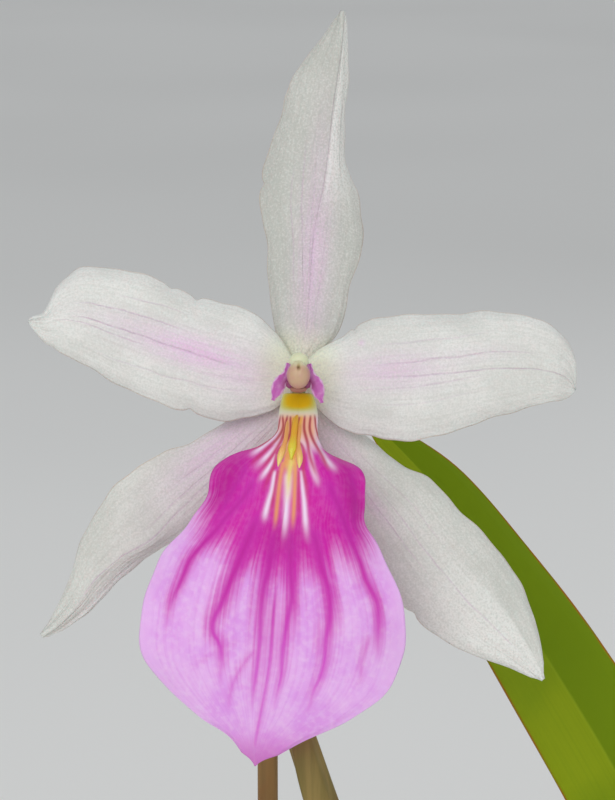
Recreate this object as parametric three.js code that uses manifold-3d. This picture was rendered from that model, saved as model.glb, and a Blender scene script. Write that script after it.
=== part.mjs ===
// A pansy orchid in flower, growing in a plain clay pot of bark. Millimetres, +Z up.
// The origin is the middle of the pot's foot. The flower faces -Y.
import * as THREE from "three";
import { mergeVertices } from "three/addons/utils/BufferGeometryUtils.js";
import Module from "manifold-3d";

const wasm = await Module();
wasm.setup();

// Clearance between two pieces that touch on the real plant, and how close points are to be one
const GAP = 0.35;
const WELD = 1e-4;

// Pot and its filling
const POT = { height: 100, foot: 43, body: 55, rim: 60, rimDepth: 17, wall: 5.5, floor: 7, edge: 1.5,
  innerDrop: 2, sides: 36 };
const DRAIN = { count: 4, radius: 5, ring: 24, sides: 12 };
const BARK = { top: 87.5, crown: 1.5, sides: 30, seed: 11 };
const CHIPS = { count: 29, long: 15, wide: 9.3, thick: 5, least: 0.65, most: 1.15, tilt: 0.3, margin: 9,
  low: 0.4, high: 2, turn: Math.PI * (3 - Math.sqrt(5)), stray: 0.4 };

// The flower: its centre on the column and the tilt of its face
const FLOWER = { centre: [-28, -40, 317], tiltDeg: 12 };

// Pseudobulbs: place, size and turn about the upright
const RHIZOME = { level: 86.6, radius: 3 };
const BULBS = {
  front_left: { at: [-16, -4], height: 71, width: 28, depth: 13, turnDeg: -8 },
  right: { at: [30, 4], height: 69, width: 28, depth: 13, turnDeg: 10 },
  back: { at: [9, 27], height: 62, width: 25, depth: 12, turnDeg: -24 },
  old_leafless: { at: [-20, 26], height: 48, width: 22, depth: 11, turnDeg: 28 },
};
const BULB_FOOT = RHIZOME.level + RHIZOME.radius + GAP;

// Rails of the flower's parts, base to tip: [right, away from the viewer, up] from its centre
const DORSAL_SEPAL = {
  left: [[-0.6, 4.2, 1], [-2.7, 5.2, 4.7], [-3.6, 6.6, 10.6], [-4, 7.6, 16.5], [-4.8, 8.4, 21.8],
    [-4, 8.9, 26.2], [-1.9, 9, 32.6], [-0.9, 8.8, 36], [2.6, 7.8, 40.7], [5, 6.4, 44]],
  keel: [[0, 4.2, 1.3], [0.7, 4.6, 4.7], [1.2, 5.4, 10], [1.6, 6.2, 16.2], [2.4, 6.8, 20.6],
    [3.3, 7.2, 26], [3.9, 7.2, 32.1], [4.4, 7, 35.8], [5, 6.4, 40.5], [5.3, 5.8, 44.1]],
  right: [[0.6, 4.2, 1], [4.6, 5.2, 4.7], [6.2, 6.4, 10.6], [7.8, 7.8, 16.5], [7.1, 8.8, 21.8],
    [5.6, 9.2, 26.2], [5.6, 9.2, 32.6], [6, 8.8, 36], [5.8, 7.4, 40.6], [5.6, 6.2, 44]],
};
const LEFT_PETAL = {
  left: [[-0.3, 2.8, 0.6], [-2.4, 2.6, 4.1], [-5.1, 2.8, 6.8], [-8.4, 3.2, 8.2], [-12.5, 3.4, 9.1],
    [-16.9, 3.6, 11.1], [-21.5, 4, 12.4], [-26.6, 4.4, 12.6], [-29.3, 4.6, 10.5],
    [-31, 4.4, 7.2], [-32.7, 4.4, 6.5]],
  keel: [[-0.3, 2.8, -0.6], [-2.7, 2.6, 0.1], [-5.5, 1.9, 0.7], [-8.9, 1.4, 1.6], [-12.6, 1.2, 2.7],
    [-17, 1.5, 4.1], [-21.4, 2.2, 5.5], [-25.8, 3, 6.7], [-28.6, 3.6, 6.8],
    [-30.9, 4, 6.2], [-32.8, 4.4, 6.2]],
  right: [[-0.3, 2.8, -1.8], [-2.8, 2.8, -4.3], [-5.9, 2.8, -5.4], [-9.4, 2.6, -5.8],
    [-13.2, 2.8, -4.8], [-17.4, 3, -3.5], [-21.9, 3.2, -1.4], [-26.3, 3.6, 1.1], [-29.3, 4, 2.7],
    [-31.1, 4.2, 3.9], [-32.7, 4.4, 5.9]],
};
const RIGHT_PETAL = {
  left: [[0.3, 2.8, -1.8], [2.9, 2.8, -4.9], [5.2, 2.6, -6.8], [7.8, 2.4, -7.5], [11, 2.4, -8.1],
    [15.1, 2.6, -8.1], [19.2, 3, -6.9], [23.5, 3.4, -5.5], [27.8, 3.8, -4.2], [30.9, 4.6, -3.5],
    [32.6, 5.4, -3.1], [33.5, 5.8, -2.5]],
  keel: [[0.3, 2.8, -0.6], [2.5, 2.6, -0.9], [5.2, 1.9, -0.8], [7.7, 1.4, -0.7], [11, 1.2, -0.5],
    [15.1, 1.4, -0.2], [19.2, 1.8, 0.2], [23.5, 2.4, 0.6], [28, 3.2, 0.7], [31.1, 4, 0.2],
    [32.7, 5, -0.7], [33.5, 5.8, -2.1]],
  right: [[0.3, 2.8, 0.6], [2.3, 2.6, 2.6], [4.9, 2.6, 4], [7.1, 2.8, 5.6], [10.3, 3.2, 6.7],
    [14.6, 3.4, 6.9], [19.5, 3.6, 7.1], [24.1, 4, 7.3], [28.7, 4.4, 6.5], [31.8, 4.8, 4.7],
    [33.5, 5.4, 1.9], [33.6, 5.8, -1.5]],
};
const LEFT_SEPAL = {
  left: [[-0.8, 4.2, -2.9], [-4.5, 5.2, -3.8], [-8.2, 6.2, -5.7], [-12.7, 7, -8.3],
    [-17.1, 7.6, -10.1], [-21.4, 8, -12.8], [-24.4, 8.2, -16.4], [-26.6, 7.8, -20.5],
    [-28.3, 7.2, -25.9], [-30.4, 6.4, -30.3], [-31.5, 5.8, -32]],
  keel: [[-0.6, 4.2, -3.4], [-3.3, 4.4, -6], [-6.3, 4.6, -9], [-10.2, 5, -12.7], [-14.1, 5.4, -16.5],
    [-18.2, 5.6, -20.5], [-21.8, 5.8, -22.5], [-24.8, 5.8, -25.2], [-27.1, 5.6, -28.3],
    [-29.6, 5.4, -30.8], [-31.4, 5.4, -32.1]],
  right: [[-0.4, 4.2, -3.8], [-1.8, 5, -7.3], [-4.3, 5.6, -11.2], [-7.5, 6.2, -15.1],
    [-11.4, 6.8, -18.8], [-16.3, 7.4, -21.1], [-19.7, 7.4, -23.3], [-23.3, 7.2, -26.7],
    [-26.2, 6.8, -29.6], [-29.2, 6.2, -31.5], [-31.2, 5.7, -32.3]],
};
const RIGHT_SEPAL = {
  left: [[0.4, 4.2, -3.8], [0.9, 5, -7.3], [1.9, 5.6, -11.4], [4.3, 6.2, -16.2], [7.2, 6.8, -21.2],
    [10.9, 7.2, -26.6], [14.8, 7.6, -30.5], [19.2, 7.6, -33.6], [25.3, 7.2, -35.9],
    [29.3, 6.6, -37.6]],
  keel: [[0.6, 4.2, -3.4], [2.3, 4.4, -5.5], [5, 4.6, -9], [8, 5, -12.4], [11.3, 5.2, -16.4],
    [15.2, 5.4, -21.8], [19.4, 5.8, -27.1], [23.5, 6.2, -31.1], [27, 6.4, -34.6],
    [29.8, 6.4, -37.5]],
  right: [[0.8, 4.2, -2.9], [3.8, 5, -4.6], [7.9, 6, -7.6], [11.7, 6.6, -10.9], [16, 7.2, -13.2],
    [20, 7.8, -17.3], [24.6, 8.2, -22.1], [27.5, 8, -26.7], [29.2, 7.4, -31.8],
    [30, 6.6, -36.8]],
};
const LIP = {
  left: [[-1.95, 0.9, -2.75], [-2.3, -0.3, -4.9], [-2.5, -2, -7], [-4.4, -3, -8.8], [-7.3, -2.6, -9.8],
    [-10, -2.6, -11.3], [-10.7, -3.6, -14.6], [-12.9, -4.4, -17.7], [-15.6, -5, -21.1],
    [-17.7, -5.4, -25], [-18.7, -5.4, -29.4], [-18.1, -5.2, -34.2], [-15.5, -5.2, -37.4],
    [-11.7, -4.8, -40.8], [-8.1, -4.2, -43.4], [-5.9, -3.6, -46.5]],
  keel: [[-0.1, 0.9, -2.75], [-0.1, -0.8, -5], [-0.2, -2.6, -7.1], [-0.6, -4.4, -9.3],
    [-0.8, -5.4, -11.2], [-1.2, -6, -13.3], [-1.6, -6.4, -16.1], [-2.1, -6.6, -19.1],
    [-2.6, -6.8, -22.6], [-2.9, -6.8, -26.4], [-3.2, -6.8, -30.4], [-3.5, -6.6, -34.3],
    [-4, -6.2, -37.4], [-4.5, -5.6, -40.5], [-5, -4.8, -43.5], [-5.2, -3.6, -46.7]],
  right: [[1.65, 0.9, -2.75], [2.2, -0.3, -4.9], [2.1, -2, -7.1], [2.7, -3, -9.1], [5, -2.6, -10.6],
    [7.5, -2.6, -11.9], [7.9, -3.6, -14.4], [7.5, -4.4, -17.1], [9.2, -5, -20.3], [11, -5.4, -24.4],
    [12.7, -5.4, -29.4], [12.1, -5.2, -34.1], [10.1, -5.2, -38.2], [6.1, -4.8, -41.1],
    [0.1, -4.2, -44], [-4.3, -3.6, -46.6]],
};

// A repeatable draw from 0 to 1
function seededRandom(seed) {
  let state = seed;
  return () => {
    state = (state * 1664525 + 1013904223) % 4294967296;
    return state / 4294967296;
  };
}

const vec = ([x, y, z]) => new THREE.Vector3(x, y, z);
const curveThrough = (points) => new THREE.CatmullRomCurve3(points.map(vec), false, "centripetal");

// A value read from evenly spaced stations, base to tip
function fromStations(stations, along) {
  const place = along * (stations.length - 1);
  const first = Math.min(Math.floor(place), stations.length - 2);
  const share = place - first;
  const eased = share * share * (3 - 2 * share);
  return stations[first] * (1 - eased) + stations[first + 1] * eased;
}

// A closed mesh as a solid for cutting and joining
function solidOf(geometry) {
  const bare = geometry.clone();
  bare.deleteAttribute("normal");
  bare.deleteAttribute("uv");
  const merged = mergeVertices(bare, WELD);
  return new wasm.Manifold(new wasm.Mesh({
    numProp: 3,
    vertProperties: new Float32Array(merged.attributes.position.array),
    triVerts: new Uint32Array(merged.index.array),
  }));
}

// A solid as a mesh geometry, its largest piece alone where a cut left scraps
function geometryOf(solid) {
  const pieces = solid.decompose().sort((a, b) => b.volume() - a.volume());
  const mesh = pieces[0].getMesh();
  const geometry = new THREE.BufferGeometry();
  geometry.setAttribute("position", new THREE.BufferAttribute(mesh.vertProperties, 3));
  geometry.setIndex(new THREE.BufferAttribute(mesh.triVerts, 1));
  geometry.computeVertexNormals();
  return geometry;
}

const joined = (geometries) => geometries.map(solidOf).reduce((sum, next) => sum.add(next));
const cutBy = (solid, geometries) =>
  geometries.reduce((rest, cutter) => rest.subtract(solidOf(cutter)), solid);

// A thin blade: a surface of rows (base to tip) and columns (side to side) given its thickness,
// split into triangles alike on both faces
function blade(surface, rows, columns, thickness) {
  const grid = [];
  for (let i = 0; i <= rows; i += 1) {
    for (let j = 0; j <= columns; j += 1) {
      grid.push(surface(i / rows, (2 * j) / columns - 1));
    }
  }
  const at = (i, j) => grid[i * (columns + 1) + j];
  const positions = [];
  for (const side of [0.5, -0.5]) {
    for (let i = 0; i <= rows; i += 1) {
      for (let j = 0; j <= columns; j += 1) {
        const along = at(Math.min(i + 1, rows), j).clone().sub(at(Math.max(i - 1, 0), j));
        const across = at(i, Math.min(j + 1, columns)).clone().sub(at(i, Math.max(j - 1, 0)));
        const normal = along.cross(across).normalize();
        positions.push(...at(i, j).clone().addScaledVector(normal, side * thickness).toArray());
      }
    }
  }
  const back = grid.length;
  const index = [];
  const quad = (a, b, c, d) => index.push(a, b, c, a, c, d);
  for (let i = 0; i < rows; i += 1) {
    for (let j = 0; j < columns; j += 1) {
      const a = i * (columns + 1) + j;
      const b = a + columns + 1;
      index.push(a, b, b + 1, a, b + 1, a + 1);
      index.push(back + a, back + b + 1, back + b, back + a, back + a + 1, back + b + 1);
    }
  }
  for (let j = 0; j < columns; j += 1) {
    const tip = rows * (columns + 1) + j;
    quad(j, j + 1, back + j + 1, back + j);
    quad(tip + 1, tip, back + tip, back + tip + 1);
  }
  for (let i = 0; i < rows; i += 1) {
    const near = i * (columns + 1);
    const next = near + columns + 1;
    quad(next, near, back + near, back + next);
    quad(near + columns, next + columns, back + next + columns, back + near + columns);
  }
  const geometry = new THREE.BufferGeometry();
  geometry.setAttribute("position", new THREE.Float32BufferAttribute(positions, 3));
  geometry.setIndex(index);
  geometry.computeVertexNormals();
  return geometry;
}

// A sepal, petal or lip between three rails, bellied towards the viewer, its margin waved.
// The belly runs out short of the tip, and the right margin's waves don't match the left's.
const BELLY_END = 1.1;
const RIGHT_PHASE = 1.7;

function railSurface({ left, keel, right }, { belly = 0, wave = 0, waves = 3, phase = 0 } = {}) {
  const rails = [left, keel, right].map(curveThrough);
  return (along, across) => {
    const middle = rails[1].getPoint(along);
    const edge = rails[across < 0 ? 0 : 2].getPoint(along);
    const out = Math.abs(across);
    const point = middle.lerp(edge, out);
    const swell = belly * Math.sin(Math.PI * out) * Math.sin(Math.PI * Math.min(along * BELLY_END, 1));
    const start = phase + (across < 0 ? 0 : RIGHT_PHASE);
    const turns = Math.sin(2 * Math.PI * waves * along + start);
    point.y += wave * out ** 3 * Math.sin(Math.PI * along) * turns - swell;
    return point;
  };
}

// A strap leaf or bract along a route: its half widths, the way its face looks, and its fold,
// which flattens towards the margins
const FOLD_FLATTENS = 0.35;
const MARGIN_RIPPLES = 9;

function strapSurface({ route, halfWidths, facing, fold = 0.3, ripple = 0 }) {
  const curve = curveThrough(route);
  const looks = facing.map(vec);
  return (along, across) => {
    const centre = curve.getPointAt(along);
    const tangent = curve.getTangentAt(along);
    const look = looks[0].clone().lerp(looks[looks.length - 1], along).normalize();
    const side = tangent.clone().cross(look).normalize();
    const face = side.clone().cross(tangent).normalize();
    const half = fromStations(halfWidths, along);
    const out = Math.abs(across);
    const rise = fold * half * (out - FOLD_FLATTENS * out * out)
      + ripple * out * out * Math.sin(MARGIN_RIPPLES * Math.PI * along) * Math.sin(Math.PI * along);
    return centre.addScaledVector(side, half * across).addScaledVector(face, rise);
  };
}

// A round stem or root along a route, its radius read from stations
function stem(route, radii, sides, steps, grow = 0) {
  const curve = curveThrough(route);
  const frames = curve.computeFrenetFrames(steps, false);
  const geometry = new THREE.CylinderGeometry(1, 1, 1, sides, steps);
  const place = geometry.attributes.position;
  for (let k = 0; k < place.count; k += 1) {
    const along = place.getY(k) + 0.5;
    const step = Math.round(along * steps);
    const radius = fromStations(radii, along) + grow;
    const point = curve.getPointAt(along);
    point.addScaledVector(frames.binormals[step], place.getX(k) * radius);
    point.addScaledVector(frames.normals[step], place.getZ(k) * radius);
    place.setXYZ(k, point.x, point.y, point.z);
  }
  geometry.computeVertexNormals();
  return geometry;
}

// A solid of revolution about the upright, from [radius, height] points
function turned(profile, sides) {
  const points = profile.map(([radius, height]) => new THREE.Vector2(radius, height));
  return new THREE.LatheGeometry(points, sides).rotateX(Math.PI / 2);
}

const material = (color, roughness) =>
  new THREE.MeshStandardMaterial({ color, roughness, metalness: 0 });
const LOOKS = {
  clay: material(0xb86f4c, 0.9),
  bark: material(0x6d4a30, 0.95),
  root: material(0xcfc8b0, 0.75),
  bulb: material(0x7f9a3c, 0.5),
  oldBulb: material(0x9c9350, 0.6),
  leaf: material(0x74902a, 0.45),
  stalk: material(0x9a8a55, 0.6),
  ovary: material(0x8da456, 0.5),
  tepal: material(0xe9e2e6, 0.6),
  lip: material(0xcf6fd6, 0.55),
  column: material(0xc85aa8, 0.5),
  anther: material(0xd9bfa8, 0.5),
};

const plant = new THREE.Group();
const flower = new THREE.Group();
flower.position.copy(vec(FLOWER.centre));
flower.rotation.x = THREE.MathUtils.degToRad(-FLOWER.tiltDeg);
plant.add(flower);

function place(parent, name, geometry, look) {
  const mesh = new THREE.Mesh(geometry, look);
  mesh.name = name;
  parent.add(mesh);
}

// The pot: a tapered wall under a straight rim, open at the top, with drain holes off its centre
function potInside(height) {
  const under = POT.height - POT.rimDepth;
  return (POT.foot + ((POT.body - POT.foot) * height) / under) - POT.wall;
}

function pot() {
  const { height, foot, body, rim, rimDepth, wall, floor, edge, innerDrop, sides } = POT;
  const ledge = height - rimDepth;
  const inner = rim - wall;
  const wallOfClay = turned([
    [0, 0], [foot - edge, 0], [foot, edge], [body, ledge - edge], [rim - edge, ledge], [rim, ledge + edge],
    [rim, height - edge], [rim - edge, height], [inner + edge, height], [inner, height - edge],
    [potInside(ledge), ledge - innerDrop], [potInside(floor), floor], [0, floor],
  ], sides);
  const holes = [];
  for (let k = 0; k < DRAIN.count; k += 1) {
    const turn = (Math.PI * 2 * (k + 0.5)) / DRAIN.count;
    const hole = new THREE.CylinderGeometry(DRAIN.radius, DRAIN.radius, 4 * floor, DRAIN.sides);
    hole.rotateX(Math.PI / 2);
    hole.translate(DRAIN.ring * Math.cos(turn), DRAIN.ring * Math.sin(turn), 0);
    holes.push(hole);
  }
  return geometryOf(cutBy(solidOf(wallOfClay), holes));
}

// A pseudobulb: an egg-shaped swelling pressed flat, narrow at its top
const BULB_PROFILE = [[0, 0], [0.42, 0], [0.8, 0.1], [1, 0.32], [0.93, 0.52], [0.66, 0.75], [0.3, 0.95],
  [0.12, 1], [0, 1]];
const BULB_SIDES = 18;

function bulb({ at, height, width, depth, turnDeg }, grow = 0) {
  const radius = width / 2 + grow;
  const tall = height + 2 * grow;
  const geometry = turned(BULB_PROFILE.map(([out, up]) => [out * radius, up * tall]), BULB_SIDES);
  geometry.scale(1, (depth / 2 + grow) / radius, 1);
  geometry.rotateZ(THREE.MathUtils.degToRad(turnDeg));
  return geometry.translate(at[0], at[1], BULB_FOOT - grow);
}

// The rhizome that links the pseudobulbs, and the roots that run from it over and into the bark
const RHIZOME_ROUTES = [
  [[-20, -5, 0], [-8, -1, -0.6], [8, 2, -0.6], [20, 5, 0], [33, 4, 0]],
  [[6, 1, -0.6], [9, 14, -0.4], [9, 30, 0]],
  [[9, 20, -0.4], [-6, 25, -0.4], [-22, 26, 0]],
  [[5, 1, -0.6], [4, -14, -0.6], [4, -31, -0.4]],
];
const ROOT_ROUTES = [
  [[-18, -6, 0], [-34, -16, 5.6], [-44, -20, 0]],
  [[-16, -2, 0], [-32, 8, 5.8], [-45, 13, -0.5]],
  [[-8, -4, 0], [-11, -24, 5.6], [-14, -43, -0.5]],
  [[12, 2, 0], [19, -20, 5.8], [30, -36, -0.5]],
  [[28, 2, 0], [39, -14, 5.4], [46, -16, -0.5]],
  [[10, 28, 0], [22, 38, 5.4], [30, 40, -0.5]],
];
const ROOT_RADII = [1.7, 1.6, 1.5, 1.2, 0.9];
const RHIZOME_FACETS = [8, 5];
const ROOT_FACETS = [6, 6];

function rhizomeParts(grow = 0) {
  const onLevel = (route) => route.map(([x, y, up]) => [x, y, RHIZOME.level + up]);
  const { radius } = RHIZOME;
  return [
    ...RHIZOME_ROUTES.map((route) => stem(onLevel(route), [radius, radius], ...RHIZOME_FACETS, grow)),
    ...ROOT_ROUTES.map((route) => stem(onLevel(route), ROOT_RADII, ...ROOT_FACETS, grow)),
  ];
}

// Leaves: route from the foot, half widths, and the way the upper face looks at foot and tip
const TOP_HALVES = [2.6, 4.6, 6.2, 7.2, 7.4, 6.8, 5, 0.5];
const LOW_HALVES = [4, 4.8, 5.6, 6, 5.8, 4.6, 0.5];
const LEAVES = {
  leaf_behind_flower: {
    route: [[30, 2.6, 159.6], [31, 3.6, 185], [29, 3.4, 215], [23, 3, 236], [16.6, 2.8, 250],
      [6.8, 3.4, 266.6], [-1.8, 5.1, 279.6], [-10.2, 6.8, 292], [-16.4, 7.6, 298.7], [-20.9, 8.4, 303]],
    halfWidths: [2.6, 5, 6.8, 7.7, 8, 8, 7.7, 6.7, 4.6, 0.5],
    facing: [[0, -1, 0.1], [0, -1, 0.25]],
  },
  leaf_right_outer: {
    route: [[30, 5.6, 159.6], [33, 8, 185], [40, 14, 210], [52, 22, 226], [68, 31, 228], [86, 40, 214]],
    halfWidths: TOP_HALVES,
    facing: [[-0.2, -1, 0], [0.2, 0.1, 1]],
  },
  leaf_left_front: {
    route: [[-16.4, -5.4, 161.6], [-19, -7, 185], [-27, -10, 208], [-42, -15, 222], [-60, -22, 222],
      [-78, -29, 206]],
    halfWidths: TOP_HALVES,
    facing: [[0.2, 1, 0], [-0.3, -0.1, 1]],
  },
  leaf_left_back: {
    route: [[-15.6, -2.4, 161.6], [-16, 1, 186], [-22, 9, 210], [-33, 23, 225], [-46, 39, 226],
      [-58, 55, 212]],
    halfWidths: TOP_HALVES,
    facing: [[0.2, -1, 0], [-0.2, 0.3, 1]],
  },
  leaf_back_right: {
    route: [[8.4, 25.4, 152.6], [12.6, 28, 176], [20.5, 35, 200], [32, 45, 214], [47, 56, 213],
      [60, 64, 198]],
    halfWidths: TOP_HALVES,
    facing: [[-0.41, -0.91, 0], [0.2, 0.2, 1]],
  },
  leaf_back_left: {
    route: [[9.6, 28.6, 152.6], [4.6, 33, 172], [-1.6, 40, 190], [-9, 49, 200], [-18, 59, 198],
      [-27, 69, 186]],
    halfWidths: TOP_HALVES,
    facing: [[0.41, 0.91, 0], [-0.2, 0.3, 1]],
  },
  basal_leaf_front_left: {
    route: [[-29.5, -4, 90.6], [-33.4, -4.4, 108], [-34.4, -5, 130], [-38, -6, 152], [-49, -8, 174],
      [-64, -11, 184]],
    halfWidths: LOW_HALVES,
    facing: [[1, 0.1, 0], [0.1, 0, 1]],
  },
  basal_leaf_front_middle: {
    route: [[-2.6, -5, 90.6], [1, -7, 106], [1.6, -10, 124], [1, -14, 140], [-1, -21, 153], [-5, -31, 158]],
    halfWidths: LOW_HALVES,
    facing: [[-1, 0.1, 0], [0, 0.3, 1]],
  },
  basal_leaf_right_outer: {
    route: [[43.4, 6, 90.6], [47, 7, 106], [48, 8, 126], [50, 10, 148], [58, 13, 168], [72, 18, 180]],
    halfWidths: LOW_HALVES,
    facing: [[-1, -0.1, 0], [0, 0, 1]],
  },
  basal_leaf_right_inner: {
    route: [[16.2, 2, 90.6], [12.8, 2, 106], [11.6, 2, 124], [10, 3, 142], [6, 6, 158], [0, 10, 168]],
    halfWidths: LOW_HALVES,
    facing: [[1, 0.1, 0], [0, -0.3, 1]],
  },
  basal_leaf_back_left: {
    route: [[-2.4, 32.4, 90.6], [-5.6, 34, 104], [-6.4, 36, 122], [-9, 39, 142], [-17, 45, 158],
      [-29, 53, 165]],
    halfWidths: LOW_HALVES,
    facing: [[0.9, -0.4, 0], [0.2, -0.2, 1]],
  },
  basal_leaf_back_right: {
    route: [[20.6, 22, 90.6], [23.8, 21.4, 104], [25, 21.4, 122], [28, 22, 142], [37, 24, 158],
      [50, 27, 166]],
    halfWidths: LOW_HALVES,
    facing: [[-0.9, 0.4, 0], [-0.1, 0, 1]],
  },
};
const LEAF = { thickness: 0.9, rows: 14, basalRows: 10, columns: 4, ripple: 0.35 };

function leaf(spec, grow = 0) {
  const halfWidths = spec.halfWidths.map((half) => half + grow);
  const [[x, y, foot], ...rest] = spec.route;
  const route = [[x, y, foot - grow], ...rest];
  const surface = strapSurface({ ...spec, route, halfWidths, ripple: LEAF.ripple });
  const rows = spec.halfWidths === LOW_HALVES ? LEAF.basalRows : LEAF.rows;
  return blade(surface, rows, LEAF.columns, LEAF.thickness + 2 * grow);
}

// The new growth: a small fan of folded leaves on a swollen foot
const NEW_GROWTH = {
  foot: { at: [4.5, -31, BULB_FOOT - 0.2], radius: 4.2, height: 15, sides: 12,
    profile: [[0, 0], [0.7, 0.1], [1, 0.4], [0.6, 0.8], [0, 1]] },
  fold: 0.5,
  rows: 7,
  blades: [
    { route: [[4.5, -31, 92], [4.3, -31.5, 112], [3, -33, 138], [1, -36, 158]],
      halfWidths: [2.6, 3.6, 3.4, 0.5], facing: [[0, -1, 0.1], [0, -1, 0.3]] },
    { route: [[2, -30.6, 93], [-1.5, -31, 106], [-6, -33, 122], [-14, -36, 136]],
      halfWidths: [2.6, 3.6, 3.4, 0.5], facing: [[1, 0, 0], [0.5, 0, 1]] },
    { route: [[7, -30.6, 93], [10.5, -31, 104], [15, -33, 117], [22, -36, 127]],
      halfWidths: [2.4, 3.3, 3, 0.5], facing: [[-1, 0, 0], [-0.5, 0, 1]] },
  ],
};

function newGrowth(grow = 0) {
  const { at, radius, height, sides, profile } = NEW_GROWTH.foot;
  const { fold, rows } = NEW_GROWTH;
  const foot = turned(profile.map(([out, up]) => [out * (radius + grow), up * (height + 2 * grow)]), sides);
  foot.translate(at[0], at[1], at[2] - grow);
  const blades = NEW_GROWTH.blades.map((spec) =>
    blade(strapSurface({ ...spec, fold }), rows, LEAF.columns, LEAF.thickness + 2 * grow));
  return [foot, ...blades];
}

// The flower's scape and the younger one that leans across behind the lip. Each bract starts at
// a share of the scape's length and clasps the stem from its leaning side.
const SCAPES = {
  flower_scape: {
    route: [[-24, -15.6, 84], [-26.5, -19, 125], [-30.6, -25, 190], [-32, -27.4, 250], [-32, -26.4, 286]],
    radii: [1.9, 1.7, 1.4, 1.3, 1.3],
    bracts: [[0.1, 0.2, -0.8, -0.6], [0.3, 0.17, 0.7, -0.7], [0.49, 0.16, -0.9, -0.3],
      [0.68, 0.15, 0.8, -0.5]],
  },
  young_scape: {
    route: [[26, -11, 84], [21, -17, 118], [5, -29, 180], [-12, -38, 228], [-26, -42.6, 264],
      [-33.4, -41.6, 287]],
    radii: [2, 1.8, 1.6, 1.6, 1.5, 0.7],
    bracts: [[0.1, 0.18, 0.8, -0.5], [0.3, 0.17, -0.7, -0.7], [0.5, 0.16, 0.8, -0.3],
      [0.68, 0.15, -0.8, -0.5], [0.84, 0.13, 0.6, -0.6]],
  },
};
const SCAPE_FACETS = [8, 14];
const BRACT = { halfWidths: [2, 2.5, 2, 0.4], thickness: 0.7, rows: 4, columns: 2, fold: 0.75,
  clear: 0.2, stand: 1.5, stations: [0, 0.35, 0.7, 1] };

function bract(route, radius, [start, length, leanX, leanY]) {
  const curve = curveThrough(route);
  const lean = new THREE.Vector3(leanX, leanY, 0).normalize();
  const { halfWidths, thickness, rows, columns, fold, clear, stand, stations } = BRACT;
  const points = stations.map((share) => {
    const off = radius + clear + stand * share ** 2;
    return curve.getPointAt(start + length * share).addScaledVector(lean, off).toArray();
  });
  const facing = [lean.clone().negate().toArray()];
  return blade(strapSurface({ route: points, halfWidths, facing, fold }), rows, columns, thickness);
}

function scape({ route, radii, bracts }) {
  const parts = [stem(route, radii, ...SCAPE_FACETS)];
  bracts.forEach((spec) => parts.push(bract(route, radii[1], spec)));
  return geometryOf(joined(parts));
}

const scapeHole = ({ route, radii }) => stem(route, radii, ...SCAPE_FACETS, GAP);

// The pedicel rises from the scape's top and swells into the ovary behind the flower
const PEDICEL = {
  route: [[-32, -26, 286.4], [-31.9, -23.6, 296], [-31, -22.4, 304], [-29.6, -24.6, 310],
    [-28.4, -30, 313.6], [-28, -35, 314.9]],
  radii: [1.3, 1.2, 1.5, 2.2, 2.5, 1.9],
  facets: [10, 14],
};

// The bark that fills the pot: a domed bed with chips lying on it, and holes where the plant stands
function bark() {
  const foot = POT.floor + GAP;
  const ledge = POT.height - POT.rimDepth - POT.innerDrop;
  const side = potInside(ledge) - GAP;
  const bed = turned([[0, foot], [potInside(foot) - GAP, foot], [side, ledge], [side, BARK.top],
    [0, BARK.top + BARK.crown]], BARK.sides);
  const random = seededRandom(BARK.seed);
  const spread = (low, high) => low + (high - low) * random();
  const chips = [];
  for (let k = 0; k < CHIPS.count; k += 1) {
    const reach = (potInside(BARK.top) - CHIPS.margin) * Math.sqrt((k + 0.5) / CHIPS.count);
    const turn = k * CHIPS.turn + spread(0, CHIPS.stray);
    const size = spread(CHIPS.least, CHIPS.most);
    const chip = new THREE.BoxGeometry(CHIPS.long * size, CHIPS.wide * size, CHIPS.thick * size);
    chip.rotateX(spread(-CHIPS.tilt, CHIPS.tilt));
    chip.rotateY(spread(-CHIPS.tilt, CHIPS.tilt));
    chip.rotateZ(spread(0, Math.PI));
    chip.translate(reach * Math.cos(turn), reach * Math.sin(turn), BARK.top + spread(CHIPS.low, CHIPS.high));
    chips.push(chip);
  }
  const standing = [
    ...rhizomeParts(GAP),
    ...Object.values(BULBS).map((spec) => bulb(spec, GAP)),
    ...Object.keys(LEAVES).filter((name) => name.startsWith("basal"))
      .map((name) => leaf(LEAVES[name], GAP)),
    ...newGrowth(GAP),
    ...Object.values(SCAPES).map(scapeHole),
  ];
  return geometryOf(cutBy(joined([bed, ...chips]), standing));
}

// The column: a short club with a hood and a wing on each side, and the cap on its front
const COLUMN_CLUB = { route: [[0, 1.7, -0.7], [0, -0.6, -0.5], [0, -3.2, 0], [0, -4.4, 0.3]],
  radii: [1.5, 1.5, 1.6, 1.3], facets: [10, 5] };
const COLUMN_WINGS = [
  { route: [[-1.3, -3.3, 1.1], [-1.75, -3.7, -0.3], [-2.35, -4, -1.6], [-2.85, -4.1, -2.8],
    [-3.1, -4.1, -3.4]],
    halfWidths: [0.45, 0.55, 0.85, 0.75, 0.4], facing: [[0, -1, 0]], fold: 0.2 },
  { route: [[1.3, -3.3, 1], [1.65, -3.7, -0.3], [2.1, -4, -1.6], [2.45, -4.1, -2.8], [2.75, -4.1, -3.7]],
    halfWidths: [0.45, 0.55, 0.85, 0.75, 0.4], facing: [[0, -1, 0]], fold: 0.2 },
];
const WING = { rows: 5, columns: 2, thickness: 0.7 };
const HOOD = { at: [0, -3.6, 1.15], half: [1.2, 1.4, 1.15] };
const ANTHER = { at: [-0.05, -5.1, -0.35], half: [1.4, 1.3, 1.68] };
const BALL_FACETS = [10, 7];

function ellipsoid({ at, half }) {
  return new THREE.SphereGeometry(1, ...BALL_FACETS).scale(...half).translate(...at);
}

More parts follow.
